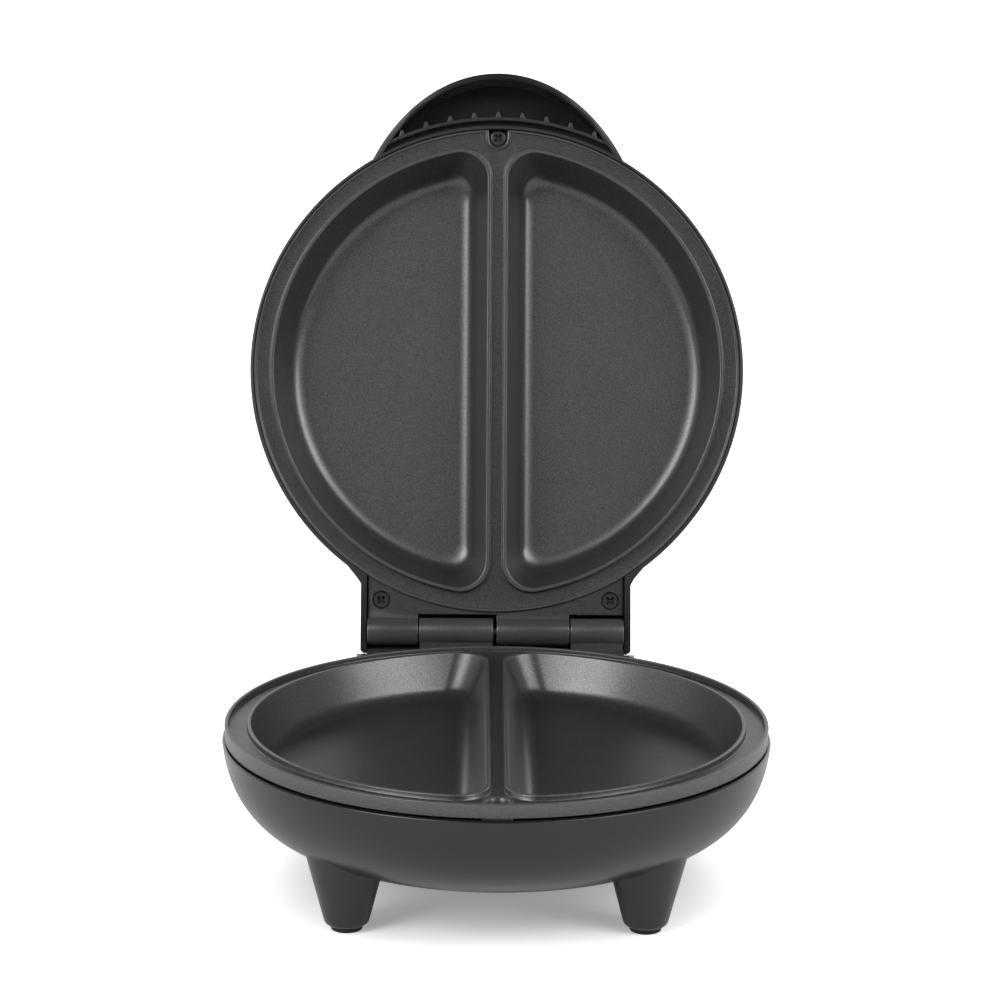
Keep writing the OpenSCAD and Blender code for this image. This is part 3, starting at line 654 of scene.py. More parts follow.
# Unglazed ivory ceramic: matt
CERAMIC = Grained("unglazed_ceramic", "#d8d0c0", "#e4ddcf", 0.7, 0.05, 0.4, 0.01)
# Woven glass-fibre sleeve: off-white, matt and rough
SLEEVE = Grained("glass_fibre_sleeve", "#d2d0c6", "#e8e6de", 0.8, 0.05, 0.6, 0.05)
# Moulded off-white plastic of the terminal block and lamp holder: half matt
PALE_PLASTIC = Grained("moulded_pale_plastic", "#d6d4ca", "#deddd4", 0.5, 0.04, 0.5, 0.005)
# Moulded tinted plastic of the lamps: saturated and shiny
RED_LENS = Grained("tinted_red_plastic", "#8f1410", "#a81c16", 0.15, 0.03, 0.8, 0.002)
GREEN_LENS = Grained("tinted_green_plastic", "#1c6b28", "#238031", 0.15, 0.03, 0.8, 0.002)


@dataclass(frozen=True)
class CookingPlate:
    """One cast plate, drawn cooking side up with the crowns of its beads at height 0."""

    outer_r: float
    lip_w: float
    lip_top: float
    skirt: float
    ring_in_r: float
    notch_r: float
    gutter_d: float = 2.2
    gutter_r: float = 0.6
    bead_foot: float = 2.2
    bead_foot_r: float = 0.4
    bead_crown: float = 1.15
    edge_r: float = 0.35
    lip_in_r: float = 0.3
    skirt_r: float = 0.4
    divider_w: float = 9.0
    cavity_r: float = 98.4
    corner_r: float = 12.0
    corner_shrink: float = 0.35
    cavity_d: float = 17.5
    floor_r: float = 7.5
    wall_slope: float = 23.6
    round_lean: float = 1.1
    plate_t: float = 3.0
    notch_y: float = -103.7
    notch_w: float = 8.2
    notch_d: float = 2.4
    notch_wall: float = 1.5
    screw_hole_r: float = 2.0
    line_steps: int = 24
    corner_steps: int = 24
    arc_steps: int = 132

    @property
    def gutter_edge(self) -> float:
        """Radius where the gutter starts to rise to the lip."""
        return self.outer_r - self.lip_w - self.gutter_r

    @property
    def under_z(self) -> float:
        """Height of the underside between the ring and the cavities."""
        return -self.gutter_d - self.plate_t

    def half_moon(self, inset: Array) -> Array:
        """Half-moon outlines drawn in by inset: straight side, corner, round side and corner.

        The corner circles touch the straight side and the round side. Their middles lie at the straight
        side plus the corner radius, and at the round side's radius less the corner radius from the axis.
        The wall of the round side leans out more than the straight one, by round_lean. The points are
        worked out as X plus i times Y.

        Args:
            inset: One value per outline, negative to grow it.

        Returns:
            Array of outlines, points and X, Y.
        """
        inset = inset[:, None]
        straight = self.divider_w / 2 + inset
        round_r = self.cavity_r - inset * np.where(inset > 0, self.round_lean, 1.0)
        corner = self.corner_r - self.corner_shrink * inset
        middle_x = straight + corner
        middle_y = np.sqrt((round_r - corner) ** 2 - middle_x**2)
        middle = middle_x + 1j * middle_y
        slant = np.arctan2(middle_y, middle_x)
        line = spaced((1, -1), (self.line_steps,))
        bend = (math.pi - slant) * spaced((0, 1), (self.corner_steps,))
        swing = spaced((-1, 1), (self.arc_steps,))
        sides = [
            straight + 1j * middle_y * line,
            middle.conj() - corner * np.exp(1j * bend),
            round_r * np.exp(1j * slant * swing),
            middle + corner * np.exp(1j * (slant + bend)),
        ]
        edge = np.concatenate(sides, axis=1)
        return np.stack([edge.real, edge.imag], axis=-1)

    def half_disc(self, radius: float) -> Array:
        """Half disc outline with the same points as a half-moon, its straight side on the middle plane.

        Args:
            radius: Radius of the disc.

        Returns:
            Array of points and X, Y.
        """
        shape = self.half_moon(np.array([-self.bead_foot]))[0]
        flat_end = shape[0, 1]
        first_arc = self.line_steps + self.corner_steps
        slant = math.atan2(-shape[first_arc, 1], shape[first_arc, 0])
        half = self.corner_steps // 2
        down = spaced((flat_end, -flat_end, -radius), (self.line_steps, half))
        turn = spaced((-math.pi / 2, -slant, slant, math.pi / 2), (half, self.arc_steps, half))
        up = spaced((radius, flat_end), (half,))
        across = np.concatenate([0 * down, radius * np.cos(turn), 0 * up])
        return np.stack([across, np.concatenate([down, radius * np.sin(turn), up])], axis=-1)

    def ring_angles(self) -> Array:
        """Angles of the rim's points, those of both half discs."""
        start = self.line_steps + self.corner_steps // 2
        edge = self.half_disc(1.0)[start : start + self.corner_steps + self.arc_steps]
        right = np.arctan2(edge[:, 1], edge[:, 0])
        return np.concatenate([right, math.pi + right])

    def top_profile(self) -> Array:
        """Section from the gutter over the bead and down to the cavity floor, as inset and height.

        The wall's points stand closer near the bead, by the square of their share of its length.
        """
        slope = math.radians(self.wall_slope)
        foot = arc((-self.bead_foot, self.bead_foot_r - self.gutter_d), self.bead_foot_r, -90, -25, 5)
        crown = arc((-self.bead_crown, -self.edge_r), self.edge_r, 155, 90, 5)
        flank = 0.2 * foot[-1:] + 0.8 * crown[:1]
        edge = arc((-self.edge_r, -self.edge_r), self.edge_r, 90, self.wall_slope, 5)
        start = edge[-1]
        bend_z = self.floor_r - self.cavity_d
        reach = (self.floor_r - math.sin(slope) * (bend_z - start[1])) / math.cos(slope)
        bend = arc((start[0] + reach, bend_z), self.floor_r, 180 + self.wall_slope, 270, 10)
        wall = start + (bend[0] - start) * np.linspace(0, 1, 9)[1:-1, None] ** 2
        return np.concatenate([foot, flank, crown, edge, wall, bend])

    def under_profile(self, top: Array) -> Array:
        """Section of the underside, from the cavity floor out to the ring.

        Args:
            top: Section of the cooking side.

        Returns:
            Array of inset and height.
        """
        radius = self.floor_r + self.plate_t
        bend_z = self.floor_r - self.cavity_d
        bend = arc((top[-1, 0], bend_z), radius, 270, 180 + self.wall_slope, 8)
        run = (self.under_z - bend[-1, 1]) * math.tan(math.radians(self.wall_slope))
        return np.concatenate([bend, [[bend[-1, 0] - run, self.under_z]]])

    def middle_loop(self, inset: float) -> Array:
        """A floor outline shrunk to the middle of the floor."""
        shape = self.half_moon(np.array([inset]))[0]
        return shape.mean(axis=0) + 0 * shape

    def half(self, side: int) -> Array:
        """Rows of points of one half of the plate with its cavity.

        Args:
            side: 1 for the right half, -1 for the left.

        Returns:
            Array of rows, points and X, Y, Z.
        """
        top = self.top_profile()
        under = self.under_profile(top)
        loops = [self.half_disc(self.gutter_edge), *self.half_moon(top[:, 0])]
        loops += [self.middle_loop(top[-1, 0]), self.middle_loop(under[0, 0])]
        loops += [*self.half_moon(under[:, 0]), self.half_disc(self.ring_in_r)]
        heights = [-self.gutter_d, *top[:, 1], top[-1, 1], under[0, 1], *under[:, 1], self.under_z]
        rows = np.stack([level(loop, height) for loop, height in zip(loops, heights)])
        rows[..., 0] *= side
        return rows

    def ring_profile(self) -> Array:
        """Section of the lip and skirt, from the gutter's edge over the lip and under to the inside."""
        gutter_r, in_r, out_r, skirt_r = self.gutter_r, self.lip_in_r, self.edge_r, self.skirt_r
        crown = self.lip_top
        rise = arc((self.gutter_edge, gutter_r - self.gutter_d), gutter_r, -90, 0, 5)
        over_in = arc((self.outer_r - self.lip_w + in_r, crown - in_r), in_r, 180, 90, 5)
        over_out = arc((self.outer_r - out_r, crown - out_r), out_r, 90, 0, 5)
        low = arc((self.outer_r - skirt_r, skirt_r - self.skirt), skirt_r, 0, -90, 4)
        inside = [[self.ring_in_r, -self.skirt], [self.ring_in_r, self.under_z]]
        return np.concatenate([rise, over_in, over_out, low, inside])

    def notch_solid(self, levels: Sequence[Sequence[float]], reach: float) -> bpy.types.Object:
        """A solid lofted through U-shaped outlines round the screw.

        Each outline is a half circle, two sides and an arc round the plate's middle.

        Args:
            levels: How much each outline is grown, and its height.
            reach: Radius of the arc.

        Returns:
            The new solid.
        """
        loops = []
        for grow, height in levels:
            half_w = self.notch_w / 2 + grow
            open_angle = math.degrees(math.asin(half_w / reach))
            end = arc((0.0, 0.0), reach, 270 - open_angle, 270 + open_angle, 8)
            bend = arc((0.0, self.notch_y), half_w, 0, 180, 32)
            loops.append(level(np.concatenate([bend, end]), height))
        return loft(loops)

    def notch_pad(self) -> bpy.types.Object:
        """Pad round the screw pocket, its inner edge rounded."""
        edge = arc((self.notch_wall - self.edge_r, self.lip_top - 2 * self.edge_r), self.edge_r, 0, 90, 4)
        foot = [[self.notch_wall, self.under_z - self.notch_d]]
        return self.notch_solid(np.concatenate([foot, edge]), self.outer_r - self.lip_w / 2)

    def notch_pocket(self) -> bpy.types.Object:
        """Cutter for the pocket that takes the screw, narrower at its floor and flared at its mouth."""
        floor = -self.gutter_d - self.notch_d
        top = self.lip_top - self.edge_r
        walls = [(-0.6, floor), (-0.35, floor + 1.8), (0.0, top - 0.3), (0.12, top - 0.15)]
        return self.notch_solid(walls + [(0.4, top + 0.01), (0.4, 4.0)], self.notch_r)

    def core(self) -> bpy.types.Object:
        """Cutter that keeps the hinge parts out of the plate's inside."""
        return rod(self.outer_r - 1.2, -12, 6)

    def build(self, name: str) -> bpy.types.Object:
        """The whole plate without its hinge tab.

        Args:
            name: Name of the plate.

        Returns:
            The new solid.
        """
        skin = Skin().grid(self.half(1)).grid(self.half(-1))
        plate = skin.revolve(self.ring_profile(), angles=self.ring_angles()).build(name)
        hole = shifted(rod(self.screw_hole_r, -12, 0, 32), (0, self.notch_y, 0))
        combine(plate, Cut.ADD, [self.notch_pad()])
        return combine(plate, Cut.REMOVE, [self.notch_pocket(), hole])


LOWER_PLATE = CookingPlate(109.0, 1.6, 0.0, 5.6, 104.1, 107.4)
UPPER_PLATE = CookingPlate(107.2, 1.0, -1.2, 7.0, 104.0, 108.0)


@dataclass(frozen=True)
class Hinge:
    """Tabs and knuckles that join the two plates on one pin."""

    half_w: float = 56.1
    splits: tuple[float, ...] = (-33.7, -0.3, 32.5)
    gaps: tuple[float, ...] = (0.5, 1.5, 0.5)
    knuckle_r: float = 6.1
    bore_r: float = 2.08
    tab_d: float = 2.5
    tab_t: float = 3.1
    tab_start: float = 60.0
    lower_back: float = 4.0
    upper_gap: float = 1.5
    arm_l: float = 13.0
    web_in: float = 2.6
    web_turns: tuple[float, float] = (215, 245)
    screw_x: float = 50.2
    screw_y: float = 102.2
    head_r: float = 3.4
    head_h: float = 2.0
    shank_r: float = 2.0
    # Share of painted highlight on the knuckles and the tab by them, a lighter shade standing in for light
    painted_highlight: float = 0.7

    @property
    def tab_low(self) -> float:
        """Height of the tabs' underside."""
        return -self.tab_d - self.tab_t

    def spans(self, lid: bool) -> list[tuple[float, float]]:
        """Start and end of each knuckle of the lid or of the base.

        Args:
            lid: True for the lid's knuckles.

        Returns:
            Pairs of start and end.
        """
        edges = [-self.half_w, *self.splits, self.half_w]
        gaps = [0.0, *self.gaps, 0.0]
        first = 0 if lid else 1
        return [(edges[i] + gaps[i] / 2, edges[i + 1] - gaps[i + 1] / 2) for i in range(first, 4, 2)]

    def knuckle(self, low: float, high: float, height: float) -> bpy.types.Object:
        """One hollow knuckle with rounded ends.

        Args:
            low: Where it starts.
            high: Where it ends.
            height: Height of the hinge axis.

        Returns:
            The new solid.
        """
        length = high - low
        bore = [(self.bore_r, 0, 0), (self.bore_r, length, 0)]
        section = rounded(bore + [(self.knuckle_r, length, 0.45), (self.knuckle_r, 0, 0.45)], 4)
        section[:, 1] /= length
        return barrel((LAYOUT.hinge_y, height), low, high, section)

    def screw_holes(self) -> list[bpy.types.Object]:
        """Cutters for the two countersunk holes."""
        rim = self.head_r + 0.25
        shank = [[0, -6], [self.shank_r, -6], [self.shank_r, -self.head_h]]
        section = np.array(shank + [[rim, -0.55], [rim + 0.4, 0.01], [rim + 0.4, 2], [0, 2]])
        places = [(side * self.screw_x, self.screw_y, -self.tab_d) for side in (-1, 1)]
        return [shifted(turned(section, 48), place) for place in places]

    def slab(self, low: Sequence[float], high: Sequence[float]) -> bpy.types.Object:
        """A box of the tab's thickness with softened edges, between two corners in plan."""
        return softened(prism(oblong(low, high), self.tab_low, -self.tab_d), 0.3)

    def tab(self, y_end: float) -> bpy.types.Object:
        """The tab across all knuckles, from inside the plate to y_end."""
        return self.slab((-self.half_w, self.tab_start), (self.half_w, y_end))

    def web(self, low: float, high: float) -> bpy.types.Object:
        """Web that carries a knuckle of the lower plate, up to two places on its round.

        Args:
            low: Where the knuckle starts.
            high: Where it ends.

        Returns:
            The new solid.
        """
        rear, front = arc((LAYOUT.hinge_y, LAYOUT.hinge_rise), self.knuckle_r, *self.web_turns, 1)
        inside = [LAYOUT.hinge_y - self.web_in, LAYOUT.hinge_rise - self.web_in]
        outline = [[rear[0], self.tab_low], rear, inside, front, [front[0], self.tab_low]]
        return prism(np.array(outline), low + 0.3, high - 0.3, View.SIDE)

    def finish(self, shape: CookingPlate, name: str, parts: Sequence[bpy.types.Object]) -> bpy.types.Object:
        """Builds a plate, adds its hinge parts and makes its screw holes.

        Args:
            shape: The plate's sizes.
            name: Name of the plate.
            parts: Its hinge parts.

        Returns:
            The new solid.
        """
        plate = combine(shape.build(name), Cut.ADD, parts)
        return combine(plate, Cut.REMOVE, self.screw_holes())


HINGE = Hinge()


def write_mark(piece: bpy.types.Object, name: str, share: Array) -> None:
    """Stores one value per vertex as a float attribute that the finishes read."""
    layer = piece.data.attributes.new(name, "FLOAT", "POINT")
    layer.data.foreach_set("value", share.astype(np.float32))


def mark_highlight_and_roughness(plate: bpy.types.Object, shape: CookingPlate, floors: bool) -> bpy.types.Object:
    """Marks where a plate gets painted highlight and how rough its coat is.

    Painted highlight, a lighter shade for the lines of light: 1 on the lip and the crowns of the beads, 0
    from
    0.5 mm below the crowns, and a value of its own on the hinge. Rough: 1 on the cavity floors and 0 from 1
    mm above them, with some on the gutter, or one value all over.

    Args:
        plate: The finished plate.
        shape: Its sizes.
        floors: Whether its floors are rougher than its walls.

    Returns:
        The plate.
    """
    across, along, height = read_points(plate).T
    radius = np.hypot(across, along)
    crown = np.clip((height + 0.5) / 0.2, 0, 1)
    by_lip = (radius > shape.gutter_edge + 0.3) & (radius < shape.outer_r + 1)
    on_lip = by_lip & (height > shape.lip_top - 0.4)
    on_hinge = along > LAYOUT.hinge_y - HINGE.knuckle_r - 0.8
    # Painted highlight: 1 on the lip and the bead crowns, a set share on the hinge knuckles
    write_mark(plate, PAINTED_HIGHLIGHT_MARK, np.where(on_hinge, HINGE.painted_highlight, np.maximum(crown, on_lip)))
    deep = np.clip(1.0 - height - shape.cavity_d, 0, 1)
    gutter = GUTTER_ROUGH * (np.abs(height + shape.gutter_d + 0.15) < 0.3)
    write_mark(plate, ROUGH_MARK, np.maximum(deep, gutter) if floors else np.full(len(height), EVEN_ROUGH))
    return plate


def lower_plate() -> bpy.types.Object:
    """Lower plate with its tab, webs and two knuckles, drawn over the cooking rim."""
    tab = HINGE.tab(LAYOUT.hinge_y - HINGE.lower_back)
    parts = [combine(tab, Cut.REMOVE, [LOWER_PLATE.core()])]
    for low, high in HINGE.spans(lid=False):
        parts += [HINGE.knuckle(low, high, LAYOUT.hinge_rise), HINGE.web(low, high)]
    return mark_highlight_and_roughness(HINGE.finish(LOWER_PLATE, "lower_plate", parts), LOWER_PLATE, floors=False)


def upper_plate() -> bpy.types.Object:
    """Upper plate with its tab and two knuckles, drawn cooking side up."""
    y_end = LAYOUT.hinge_y - HINGE.knuckle_r - HINGE.upper_gap
    spans = HINGE.spans(lid=True)
    arm_start, arm_end = y_end - HINGE.arm_l, LAYOUT.hinge_y - HINGE.web_in
    parts = [HINGE.tab(y_end)] + [HINGE.slab((low, arm_start), (high, arm_end)) for low, high in spans]
    parts = [combine(part, Cut.REMOVE, [UPPER_PLATE.core()]) for part in parts]
    rise = LAYOUT.hinge_rise - LAYOUT.shut_gap
    parts += [HINGE.knuckle(low, high, -rise) for low, high in spans]
    return mark_highlight_and_roughness(HINGE.finish(UPPER_PLATE, "upper_plate", parts), UPPER_PLATE, floors=True)


def box_plan(half_w: float, y_end: float, corner: float, y_start: float = 0.0) -> Array:
    """Plan of a hinge box, from inside the round housing to its rear wall with rounded corners.

    Args:
        half_w: Half its width.
        y_end: Place of its rear wall.
        corner: Radius of its corners.
        y_start: Where it starts.

    Returns:
        Array of points and X, Y.
    """
    left = arc((-half_w + corner, y_end - corner), corner, 180, 90, 8)
    right = arc((half_w - corner, y_end - corner), corner, 90, 0, 8)
    return np.concatenate([[[-half_w, y_start]], left, right, [[half_w, y_start]]])


@dataclass(frozen=True)
class BaseHousing:
    """Moulded bowl with its hinge box and four tapered legs."""

    bowl_z: float = 19.8
    power: float = 6.2
    rise: float = 4.0
    rim_z: float = 61.2
    rim_edge: float = 0.7
    flare: float = 0.4
    box_half_w: float = 61.0
    box_back: float = 10.5
    box_z: float = 33.0
    box_start: float = 40.0
    box_corner: float = 9.0
    box_round: float = 8.0
    lid_back: float = 9.2
    leg_places: tuple[tuple[float, float], ...] = ((58, -58), (-58, -58), (46, 102), (-46, 102))
    leg_r: float = 8.4
    leg_taper: float = 0.26
    leg_low: float = 2.0
    leg_round: float = 2.0
    front_leg_top: float = 37.0
    rear_leg_top: float = 36.6

    def bowl(self) -> bpy.types.Object:
        """Outside of the bowl, a superellipse turned about the axis, with a rounded rim."""
        curve = curve_profile(LAYOUT.base_r, self.rim_z, self.bowl_z, self.power, self.rise)
        rim = arc((LAYOUT.base_r - self.rim_edge, self.rim_z - self.rim_edge), self.rim_edge, 90, 0, 5)
        keep = curve[curve[:, 1] < self.rim_z - self.rim_edge]
        return turned(np.concatenate([[[0, self.rim_z]], rim, keep]), 320)

    def hollow(self) -> bpy.types.Object:
        """Inside of the bowl, with a flare at the rim."""
        inner = LAYOUT.base_r - LAYOUT.wall
        curve = curve_profile(inner, self.rim_z, self.bowl_z + LAYOUT.wall, self.power, self.rise)
        mouth_r, mouth_z = inner + self.flare, self.rim_z + 2
        flare = [[0, mouth_z], [mouth_r, mouth_z], [mouth_r, self.rim_z]]
        return turned(np.concatenate([flare, curve[curve[:, 1] < self.rim_z - self.flare]]), 320)

    def hinge_box(self, inset: float) -> bpy.types.Object:
        """Hinge box drawn in by inset, its top slanted where the open lid leans on it.

        Args:
            inset: How far it is drawn in, 0 for the outside.

        Returns:
            The new solid.
        """
        lean = math.radians(LAYOUT.lid_open - 90)
        raised = 1.0 if inset > 0 else 0.0
        back = LAYOUT.hinge_y + self.box_back - inset
        stop_z = LAYOUT.rim_z + LAYOUT.hinge_rise - (self.lid_back + LAYOUT.shut_gap) / math.cos(lean)
        slant_y = LAYOUT.hinge_y + (stop_z - self.rim_z) / math.tan(lean)
        slant_end = self.rim_z - (back - slant_y) * math.tan(lean)
        radius = self.box_round - inset
        low, top = self.box_z + inset, self.rim_z + raised
        front = [[self.box_start, low], [self.box_start, top], [slant_y, top], [back, slant_end + raised]]
        side = np.concatenate([front, arc((back - radius, low + radius), radius, 0, -90, 8)])
        corner = self.box_corner - inset
        plan = prism(box_plan(self.box_half_w - inset, back, corner, self.box_start + 0.5), 10, 90)
        combine(plan, Cut.KEEP_COMMON, [prism(side, -90, 90, View.SIDE)])
        return softened(plan, 0.5, 3) if inset == 0 else plan

    def leg(self, place: tuple[float, float]) -> bpy.types.Object:
        """A leg: a cone with a rounded foot, its rings close enough to keep the side evenly shaded.

        Args:
            place: X and Y of its middle.

        Returns:
            The new solid.
        """
        top = self.front_leg_top if place[1] < 0 else self.rear_leg_top
        corners = [(0, self.leg_low, 0), (self.leg_r, self.leg_low, self.leg_round), (self.leg_r, top, 0)]
        foot = rounded(corners, 6)[:-1]
        foot[:, 0] += np.where(foot[:, 0] > 0, self.leg_taper * (foot[:, 1] - self.leg_low), 0)
        heights = np.linspace(foot[-1, 1], top, 14)[1:]
        side = np.column_stack([self.leg_r + self.leg_taper * (heights - self.leg_low), heights])
        return shifted(turned(np.concatenate([foot, side, [[0, top]]]), 96), (*place, 0))

    def build(self) -> bpy.types.Object:
        """The whole housing."""
        legs = [self.leg(place) for place in self.leg_places]
        bowl = combine(self.bowl(), Cut.ADD, [self.hinge_box(0.0), *legs])
        return combine(bowl, Cut.REMOVE, [self.hollow(), self.hinge_box(LAYOUT.wall)])


@dataclass(frozen=True)
class LidHousing:
    """Dome with its rim band, hinge box and hollow grip, drawn shut over the cooking rim."""

    rim_t: float = 1.4
    rim_round: float = 1.0
    rim_in_r: float = 0.35
    rim_low: float = 0.8
    dome_z: float = 9.8
    dome_h: float = 38.0
    power: float = 5.8
    rise: float = 12.0
    box_half_w: float = 59.1
    box_in: float = 56.5
    box_back: float = 9.2
    box_h: float = 29.0
    box_edge: float = 6.0
    box_slope: float = 7.0
    box_round: float = 8.0
    box_corner: float = 1.2
    web_turn: float = 4.5
    mouth_top: float = 6.0
    handle_a: float = 67.4
    handle_b: float = 90.0
    handle_reach: float = 23.8
    handle_h: float = 16.0
    handle_round: float = 5.0
    hollow_round: float = 0.15
    slot_w: float = 2.5
    slot_d: float = 2.5
    strip_t: float = 1.7
    rib_n: int = 9
    rib_pitch: float = 10.7
    rib_w: float = 2.8
    rib_l: float = 2.6

    def dome(self) -> bpy.types.Object:
        """Outside of the dome with its straight band and rounded rim."""
        curve = curve_profile(LAYOUT.lid_r, self.dome_z, self.dome_h, self.power, self.rise)
        edge_at = (LAYOUT.lid_r - self.rim_round, self.rim_low + self.rim_round)
        edge = arc(edge_at, self.rim_round, -90, 0, 8)
        return turned(np.concatenate([[[0, self.rim_low]], edge, curve]), 320)

    def hollow(self) -> bpy.types.Object:
        """Inside of the dome, flared at the rim so that the rim's inner edge is rounded."""
        inner = LAYOUT.lid_r - self.rim_t
        curve = curve_profile(inner, self.dome_z, self.dome_h - LAYOUT.wall, self.power, self.rise)
        mouth_r = inner + self.rim_in_r
        flare = arc((mouth_r, self.rim_low + self.rim_in_r), self.rim_in_r, 270, 180, 4)
        low = [[0, self.rim_low - 3], [mouth_r, self.rim_low - 3]]
        return turned(np.concatenate([low, flare, curve]), 320)

    def box_web(self, side: int) -> bpy.types.Object:
        """Fillet between the round band and one side of the hinge box.

        Args:
            side: 1 for the right side, -1 for the left.

        Returns:
            The new solid.
        """
        half_w, reach = self.box_half_w, LAYOUT.lid_r
        leave = math.sqrt(reach**2 - half_w**2)
        start = math.acos(half_w / reach) - math.radians(self.web_turn)
        on_band = [(reach - 0.3) * math.cos(start), (reach - 0.3) * math.sin(start)]
        inside = [[half_w, leave + 4], [half_w - 1, leave + 4]]
        web = np.array([[half_w - 1, leave - 9], on_band, [half_w + 1.8, leave + 0.8], *inside])
        return prism(web * (side, 1), self.rim_low, 60)

    def hinge_box(self, inset: float) -> bpy.types.Object:
        """Hinge box drawn in by inset: its plan cut to its shapes seen from the side and the front.

        Args:
            inset: How far it is drawn in, 0 for the outside.

        Returns:
            The new solid.
        """
        back = LAYOUT.hinge_y + self.box_back - inset
        half_w, top = self.box_half_w - inset, self.box_h - inset
        low = self.rim_low if inset == 0 else -1.0
        radius = self.box_round
        plan = prism(box_plan(half_w, back, max(self.box_corner - inset, 0.3), 30.0), low, 60)
        if inset == 0:
            combine(plan, Cut.ADD, [self.box_web(-1), self.box_web(1)])
        rise = top + self.box_slope
        bend = arc((back - radius, top - radius), radius, 80, 0, 10)
        side = np.concatenate([[[20, low], [20, rise], [back - 45, rise]], bend, [[back, low]]])
        edge = half_w if inset > 0 else LAYOUT.lid_r
        right = np.array([[edge, low], [edge, top - self.box_edge], [half_w - self.box_edge, rise + 2]])
        front = np.concatenate([right * (-1, 1), right[::-1]])
        views = [prism(side, -120, 120, View.SIDE), prism(front, -10, 220, View.FRONT)]
        combine(plan, Cut.KEEP_COMMON, views)
        return softened(plan, 0.5, 3) if inset == 0 else plan

    def grip(self, inset: float, low: float, top: float) -> bpy.types.Object:
        """Oval body of the grip with a rounded upper edge: quarter circle from the side to the top.

        Args:
            inset: How far it is drawn in, 0 for the outside.
            low: Height of its lower face.
            top: Height of its upper face.

        Returns:
            The new solid.
        """
        middle = self.handle_b - LAYOUT.lid_r - self.handle_reach
        turn = np.linspace(0, 2 * math.pi, 200, endpoint=False)
        radius = self.handle_round if inset == 0 else self.hollow_round
        foot = [(-0.5, low), (-0.15, low + 0.15), (0.0, low + 0.5)] if inset == 0 else [(0.0, low)]
        loops = []
        for grow, height in [*foot, *arc((-radius, top - radius), radius, 0, 90, 8)]:
            half_a, half_b = self.handle_a - inset + grow, self.handle_b - inset + grow
            oval = np.column_stack([half_a * np.cos(turn), middle + half_b * np.sin(turn)])
            loops.append(level(oval, height))
        return loft(loops)

    def grip_hollow(self) -> bpy.types.Object:
        """Cutter for the hollow under the grip, outside the dome's band."""
        hollow = self.grip(LAYOUT.wall, self.rim_low - 1, self.handle_h - LAYOUT.wall)
        return combine(hollow, Cut.REMOVE, [rod(LAYOUT.lid_r, -6, 60, 320)])

    def strip(self) -> bpy.types.Object:
        """Inner wall of the grip: a ring section with rounded edges, its shelf and its ribs."""
        inner = LAYOUT.lid_r + self.slot_w
        outer = inner + self.strip_t
        low = self.rim_low + 0.4
        high = self.handle_h - 1
        ring = rounded([(inner, low, 0.5), (outer, low, 0.5), (outer, high, 0), (inner, high, 0)], 4)
        strip = turned(np.concatenate([ring, ring[:1]]), 360)
        foot = low + self.slot_d
        shelf = oblong((LAYOUT.lid_r - 0.5, foot), (inner + 0.5, foot + 2))
        combine(strip, Cut.ADD, [turned(np.concatenate([shelf, shelf[:1]]), 360)])
        half = self.rib_w / 2
        tip = [(0.5, -self.rib_l, 0.45), (-0.5, -self.rib_l, 0.45)]
        plan = rounded([(-half, 0.6, 0), (half, 0.6, 0), *tip], 4)
        for index in range(self.rib_n):
            across = (index - (self.rib_n - 1) / 2) * self.rib_pitch
            along = -math.sqrt((outer - 0.3) ** 2 - across**2)
            rib = softened(prism(plan, low + 0.2, high), 0.25)
            combine(strip, Cut.ADD, [shifted(rib, (across, along, 0))])
        return combine(strip, Cut.KEEP_COMMON, [self.grip(LAYOUT.wall / 2, self.rim_low - 1, high)])

    def build(self) -> bpy.types.Object:
        """The whole lid housing, its rim marked as rougher."""
        grip = self.grip(0.0, self.rim_low, self.handle_h)
        lid = combine(self.dome(), Cut.ADD, [self.hinge_box(0.0), grip])
        y_low = LAYOUT.hinge_y - HINGE.knuckle_r - 1
        mouth = prism(oblong((-self.box_in, y_low), (self.box_in, y_low + 40)), -3, self.mouth_top)
        combine(lid, Cut.REMOVE, [self.hollow(), self.hinge_box(LAYOUT.wall), self.grip_hollow(), mouth])
        combine(lid, Cut.ADD, [self.strip()])
        across, along, height = read_points(lid).T
        inner = np.hypot(across, along) < LAYOUT.lid_r + self.slot_w + self.strip_t + self.rib_l
        write_mark(lid, ROUGH_MARK, inner * np.clip((self.rim_low + 2.0 - height) / 0.8, 0, 1))
        return lid


